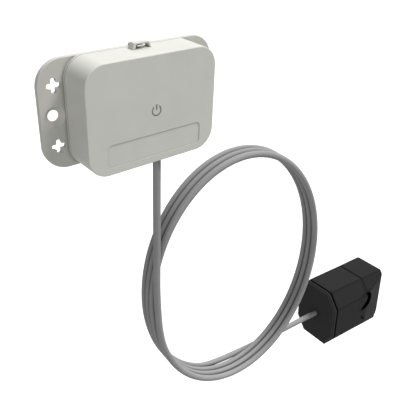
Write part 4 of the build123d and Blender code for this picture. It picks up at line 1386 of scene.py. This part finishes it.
@dataclass
class Clamp(Part):
    """Sizes and shapes that the clamp's pieces share."""

    section: Octagon = Octagon(19.5, 24.1, 8.3, 11.0, 0.4)
    wall: float = 2.0
    split: float = 36.1
    gap: float = 0.04
    bore: float = 9.0
    bore_up: float = 6.0
    tube_r: float = 10.4
    tube_inset: float = 0.6
    shelf_up: Pair = (-10.8, -9.3)
    hinge_up: float = -21.8
    web_up: Pair = (-24.1, -22.1)
    knuckle: float = 2.3
    knuckle_end: float = 2.1
    pin_r: float = 1.05

    def section_at(self, w: float) -> Octagon:
        """Return the section at this distance along: the same everywhere but on the jaw."""
        return self.section

    def stack(self, name: str, steps: Profile, closed: bool = False) -> Piece:
        """Return a piece of eight-sided rings, each at a distance and drawn in by an amount."""
        rings = [ring(self.section_at(w).inset(inset).loop(), w) for w, inset in steps]
        return skin(name, rings, closed)

    def bar(self, name: str, up: float, profile: Profile, steps: int = 96) -> Piece:
        """Return a round bar across the clamp at the split, from distances and radii."""
        return turned(name, profile, (self.split, up), steps, side_ring)

    def cut_window(self) -> None:
        """Cut the round window through the piece."""
        reach = self.section.half_width + 1
        profile = ((-reach, self.bore), (reach, self.bore))
        self.cut(self.bar("window", self.bore_up, profile))

    def cut_groove(self) -> None:
        """Cut the wide joint line on the top."""
        low = self.section.half_height - 1.0
        ends = (self.split - 0.32, self.split + 0.32)
        self.cut(block("groove", ends, (-11.3, 11.3), (low, low + 2)))

    def add_tube(self, ends: Pair, within: Pair) -> None:
        """Add the window's tube inside the piece, up to its walls.

        Args:
            ends: The tube's two limits along.
            within: Two distances along, between which the outer shape limits it.
        """
        reach = self.section.half_width - 0.8
        tube = self.bar("tube", self.bore_up, ((-reach, self.tube_r), (reach, self.tube_r)))
        combine(tube, Join.KEEP, block("limit", ends, (-reach - 1, reach + 1), (-8.0, 20.0)))
        outside = self.stack("outside", [(w, self.tube_inset) for w in within])
        combine(tube, Join.KEEP, outside)
        self.add(tube)

    def add_knuckle(self, ends: Pair) -> None:
        """Add one knuckle of the hinge.

        Args:
            ends: Its two ends across.
        """
        low, high = ends
        profile = ((low, self.knuckle_end), (low + 0.15, self.knuckle))
        profile += ((high - 0.15, self.knuckle), (high, self.knuckle_end))
        self.add(self.bar("knuckle", self.hinge_up, profile, 48))

    def cut_pin_hole(self, reach: float) -> None:
        """Cut the hinge pin's hole."""
        profile = ((-reach, self.pin_r), (reach, self.pin_r))
        self.cut(self.bar("pin_hole", self.hinge_up, profile, 32))


@dataclass
class ClampEndCap(Clamp):
    """The end plate that the lead enters, with a near-black ring in the seam behind it that paints
    the seam's shade.
    """

    def build(self) -> None:
        """Build and place the end cap and the near-black ring that paints the seam's shade."""
        steps = [(0.0, 1.6), (0.05, 1.4), (1.2, 0.1), (1.3, 0.0), (1.35, 0.0), (1.42, 0.1)]
        steps += [(1.45, 0.3), (1.45, 1.5), (2.5, 1.5), (2.5, 2.2), (5.0, 2.2), (5.0, 3.4)]
        self.piece = self.stack("clamp_cap", steps + [(2.5, 3.4)])
        hole = ((-0.3, 2.5), (0.0, 2.3), (0.15, 2.1), (3.0, 2.1))
        self.cut(turned("lead_hole", hole, (0, 0), 48))
        self.deliver(CAP_PLASTIC, CLAMP, Body.METER, "clamp_plastic", "clamp_end_cap")
        # A near-black ring that paints the shade in the seam between cap and body.
        steps = [(1.4, 1.9), (1.4, 1.15), (1.55, 1.0), (2.85, 1.0), (3.0, 1.15), (3.0, 1.9)]
        self.piece = self.stack("cap_gasket", steps, closed=True)
        self.deliver(SEAM_SHADE_RUBBER, CLAMP, Body.METER, "gland_rubber")


@dataclass
class ClampBody(Clamp):
    """The fixed shell with half of the window, the pry slots and the middle knuckle."""

    start: float = 2.9
    knuckle_ends: Pair = (-3.9, 3.9)
    slot_ends: tuple[Pair, Pair] = ((31.2, -4.8), (35.1, -9.6))
    slot_half: float = 0.55
    slot_reach: Pair = (18.4, 20.5)

    def shell(self) -> Piece:
        """Build the open eight-sided tube.

        Returns:
            The shell.
        """
        end = self.split - self.gap
        steps = [(self.start, 0.35), (3.0, 0.1), (3.2, 0.0), (end - 0.05, 0.0), (end, 0.04)]
        steps += [(end, self.wall), (self.start, self.wall)]
        return self.stack("clamp_shell", steps, closed=True)

    def cut_pry_slots(self) -> None:
        """Cut the short slanted slot in each side, under the window."""
        start, end = (Vector(spot) for spot in self.slot_ends)
        way = (end - start).normalized()
        side = Vector((-way.y, way.x)) * self.slot_half
        corners = [tuple(spot) for spot in (start + side, start - side, end - side, end + side)]
        loop = round_corners(corners, [0.5] * 4, 5)
        near, far = self.slot_reach
        for ends in ((-far, -near), (near, far)):
            self.cut(prism("pry_slot", loop, ends, side_ring))

    def build(self) -> None:
        """Build and place the clamp's body."""
        self.piece = self.shell()
        self.add_tube((20.0, self.split - self.gap), (10.0, self.split + 5.0))
        self.add(block("shelf", (14.0, 33.45), (-17.9, 17.9), self.shelf_up))
        self.cut_window()
        self.cut(block("room", (33.5, 37.0), (-10.5, 10.5), (-25.0, -19.2)))
        self.add(block("web", (32.5, self.split), self.knuckle_ends, self.web_up))
        self.add_knuckle(self.knuckle_ends)
        self.cut_pin_hole(5)
        self.cut_groove()
        self.cut_pry_slots()
        self.deliver(CLAMP_PLASTIC, CLAMP, Body.METER, "clamp_plastic", "clamp_body")


@dataclass
class ClampJaw(Clamp):
    """The jaw that swings open, tapered in plan with its edges fading out."""

    far_section: Octagon = Octagon(13.6, 24.1, 2.0, 3.0, 1.7)
    length: float = 58.7
    far_edge: float = 1.0
    far_corner: float = 15.5
    corner_steps: int = 24
    knuckle_ends: Pair = (4.2, 10.2)
    guide_sides: Pair = (15.95, 17.15)

    def section_at(self, w: float) -> Octagon:
        """Return the jaw's section at this distance along, narrower towards its end."""
        share = (w - self.split) / (self.length - self.split)
        return self.section.blend(self.far_section, share)

    def outside(self) -> Piece:
        """Build the jaw's outer shape.

        Returns:
            One solid block.
        """
        start = self.split + self.gap
        run = self.length - self.far_edge - 0.1 - start
        steps = [(start, 0.04), (start + 0.05, 0.0)]
        steps += [(start + 0.1 + run * step / 14, 0.0) for step in range(1, 15)]
        edge = quarter(self.far_edge, 5)[1:]
        steps += [(self.length - self.far_edge + rise, inset) for rise, inset in edge]
        return self.stack("jaw_shell", steps)

    def inside(self) -> Piece:
        """Build the jaw's hollow.

        Returns:
            One solid block.
        """
        far, wall = self.length - self.wall, self.wall
        run = far - 0.8 - self.split
        steps = [(self.split - 1.0, wall)]
        steps += [(self.split + run * step / 8, wall) for step in range(9)]
        return self.stack("hollow", steps + [(far, wall + 0.4)])

    def corner_cutter(self, inset: float) -> Piece:
        """Build what is cut away at the far lower corner.

        Args:
            inset: How far inside the jaw's outer face the round corner lies.

        Returns:
            The cutter.
        """
        radius = self.far_corner - inset
        far = self.length - inset
        low = -self.section.half_height + inset
        middle = Vector((far - radius, low + radius))
        loop = [(middle.x, low - 1.5), (far + 1.5, low - 1.5), (far + 1.5, middle.y)]
        for step in reversed(range(self.corner_steps + 1)):
            angle = -math.pi / 2 + math.pi / 2 * step / self.corner_steps
            loop.append((middle.x + radius * math.cos(angle), middle.y + radius * math.sin(angle)))
        return prism("corner", loop, (-22, 22), side_ring)

    def shell(self) -> Piece:
        """Build the hollow jaw with its round lower far corner.

        Returns:
            The shell.
        """
        outside = self.outside()
        combine(outside, Join.CUT, self.corner_cutter(0.0))
        inside = self.inside()
        combine(inside, Join.CUT, self.corner_cutter(self.wall))
        combine(outside, Join.CUT, inside)
        return outside

    def build(self) -> None:
        """Build and place the jaw."""
        self.piece = self.shell()
        self.add_tube((self.split + self.gap, 48.0), (self.split - 1, 50.0))
        self.add(block("shelf", (39.0, 51.0), (-14.2, 14.2), self.shelf_up))
        self.cut_window()
        self.cut(block("room", (35.0, 38.7), (-20, 20), (-25.0, -19.4)))
        for side in (-1, 1):
            low, high = sorted(side * end for end in self.knuckle_ends)
            self.add(block("web", (self.split, 39.7), (low, high), self.web_up))
            self.add_knuckle((low, high))
            low, high = sorted(side * end for end in self.guide_sides)
            self.add(block("guide", (33.0, 41.1), (low, high), (-9.2, -6.0)))
        self.cut_groove()
        self.cut_pin_hole(12)
        self.deliver(CLAMP_PLASTIC, CLAMP, Body.JAW, "clamp_plastic", "clamp_jaw")


@dataclass
class WindowLips(Clamp):
    """Soft lips in the window's ends, which leave only a curved slot for the conductor."""

    reach: Pair = (17.0, 20.1)
    slant: float = 0.6
    slot_along: tuple[float, ...] = (
        *(34.6, 35.9, 36.3, 35.4, 33.2, 31.1, 30.0, 29.8, 31.2),
        *(33.4, 36.0, 39.0, 41.0, 42.0, 41.8, 40.3, 37.8, 35.4),
    )
    slot_up: tuple[float, ...] = (
        *(14.2, 12.4, 10.0, 7.6, 5.4, 3.6, 1.9, 0.6, 0.3),
        *(0.5, 1.1, 2.4, 4.4, 7.2, 10.6, 13.4, 15.2, 15.4),
    )

    def disc(self, name: str, ends: Pair, side: int) -> Piece:
        """Build one part of a lip, with the slot cut in it.

        Args:
            name: The piece's name.
            ends: Its two limits along.
            side: Which end of the window it closes, -1 or 1.

        Returns:
            The new object.
        """
        low, high = sorted(side * end for end in self.reach)
        radius = self.bore - 0.01
        lip = self.bar(name, self.bore_up, ((low, radius), (high, radius)))
        combine(lip, Join.KEEP, block("limit", ends, (low - 1, high + 1), (-20.0, 30.0)))
        cutter = []
        for across in (low - 2, high + 2):
            under = self.slant * (self.section.half_width - abs(across))
            loop = [(w + under, v - under) for w, v in zip(self.slot_along, self.slot_up)]
            cutter.append(side_ring(loop, across))
        combine(lip, Join.CUT, skin("slot", cutter))
        return lip

    def build(self) -> None:
        """Build and place the lips of both ends on the body and on the jaw."""
        for end, side in (("front", -1), ("back", 1)):
            self.piece = self.disc(f"lip_{end}_fixed", (20.0, self.split - self.gap), side)
            outside = self.stack("outside", ((10.0, 0.0), (self.split + 5.0, 0.0)))
            combine(self.piece, Join.KEEP, outside)
            self.deliver(CLAMP_PLASTIC, CLAMP, Body.METER, "clamp_plastic")
            self.piece = self.disc(f"lip_{end}_moving", (self.split + self.gap, 50.0), side)
            combine(self.piece, Join.KEEP, ClampJaw(self.shop).outside())
            self.deliver(CLAMP_PLASTIC, CLAMP, Body.JAW, "clamp_plastic")


# The studio


@dataclass
class Studio:
    """Camera, lamps, floor and the pale surroundings."""

    eye: Triple = (-0.14348, -0.22142, 0.09704)
    right: Triple = (0.76476, -0.64277, 0.0446)
    forward: Triple = (0.56997, 0.64262, -0.51204)
    lens: float = 50.0
    sensor: float = 36.0
    floor_z: float = -0.7
    floor_size: float = 12.0
    unseen_light: float = 0.21

    def add_camera(self) -> None:
        """Add the camera at the photograph's place."""
        data = bpy.data.cameras.new("camera")
        data.lens = self.lens
        data.sensor_width = self.sensor
        data.clip_start = 0.01
        data.clip_end = 50.0
        camera = add_object("camera", data)
        back = -Vector(self.forward).normalized()
        right = Vector(self.right)
        right = (right - back * right.dot(back)).normalized()
        axes = Matrix((right, back.cross(right), back)).transposed().to_4x4()
        camera.matrix_world = Matrix.Translation(Vector(self.eye)) @ axes
        bpy.context.scene.camera = camera

    def add_sun(
        self, name: str, towards: Triple, power: float, spread: float, shines: bool = True
    ) -> None:
        """Add a wide, soft lamp.

        Args:
            name: Its name.
            towards: Direction from the object to the lamp.
            power: Its strength.
            spread: Its angle in degrees, wider for softer shadows.
            shines: Whether it also gives highlights.
        """
        data = bpy.data.lights.new(name, "SUN")
        data.energy = power
        data.angle = math.radians(spread)
        lamp = add_object(name, data)
        lamp.rotation_euler = Vector(towards).to_track_quat("Z", "Y").to_euler()
        lamp.visible_glossy = shines

    def add_floor(self) -> None:
        """Add the floor, white to the eye and less so in the light it throws back."""
        signs = ((-1, -1), (1, -1), (1, 1), (-1, 1))
        corners = [(x * self.floor_size, y * self.floor_size, self.floor_z) for x, y in signs]
        mesh = bpy.data.meshes.new("floor")
        mesh.from_pydata(corners, [], [(0, 1, 2, 3)])
        floor = add_object("floor", mesh)
        material = bpy.data.materials.new("floor")
        material.use_nodes = True
        sheet = NodeSheet(material.node_tree)
        quiet, plain = (
            sheet.node("ShaderNodeBsdfDiffuse", {}, {"Color": (level, level, level, 1.0)})
            for level in (0.3, 0.93)
        )
        inputs = {0: self.seen(sheet), 1: quiet, 2: plain}
        both = sheet.node("ShaderNodeMixShader", {}, inputs)
        sheet.node("ShaderNodeOutputMaterial", {}, {"Surface": both})
        mesh.materials.append(material)

    def seen(self, sheet: NodeSheet) -> Channel:
        """Tell the rays that show the surroundings from those that only light by them.

        Args:
            sheet: The node tree.

        Returns:
            1 for rays seen, mirrored or let through, and 0 for the others.
        """
        direct, mirrored, through = (
            sheet.node("ShaderNodeLightPath", output=f"Is {kind} Ray")
            for kind in ("Camera", "Glossy", "Transmission")
        )
        return 1.0 - (1.0 - direct) * (1.0 - mirrored) * (1.0 - through)

    def add_world(self) -> None:
        """Set the even light from all round, and white where it is seen."""
        world = bpy.data.worlds.new("surroundings")
        world.use_nodes = True
        sheet = NodeSheet(world.node_tree)
        strength = self.unseen_light + self.seen(sheet) * (1 - self.unseen_light)
        inputs = {"Color": (1.0, 1.0, 1.0, 1.0), "Strength": strength}
        light = sheet.node("ShaderNodeBackground", {}, inputs)
        sheet.node("ShaderNodeOutputWorld", {}, {"Surface": light})
        bpy.context.scene.world = world

    def build(self) -> None:
        """Build the studio."""
        self.add_camera()
        self.add_sun("key", (0.42, -0.31, 0.853), 2.98, 24.0)
        self.add_sun("behind", (0.45, 0.45, 0.77), 1.7, 40.0, False)
        self.add_sun("front", (-0.683, -0.683, 0.259), 0.96, 60.0)
        self.add_floor()
        self.add_world()
        bpy.context.scene.view_settings.view_transform = "Standard"


def main() -> None:
    """Build every piece in order."""
    logging.basicConfig(level=logging.INFO, format="%(message)s")
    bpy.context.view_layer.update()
    shop = Workshop()
    Studio().build()
    parts = (Lead, WallPlate, FrontCase, PowerButton, LatchTongue, LeadGland)
    for part in (*parts, ClampEndCap, ClampBody, ClampJaw, WindowLips):
        part(shop).build()
    shop.dress_nodes(frame["nodes"])


if __name__ == "__main__":
    main()
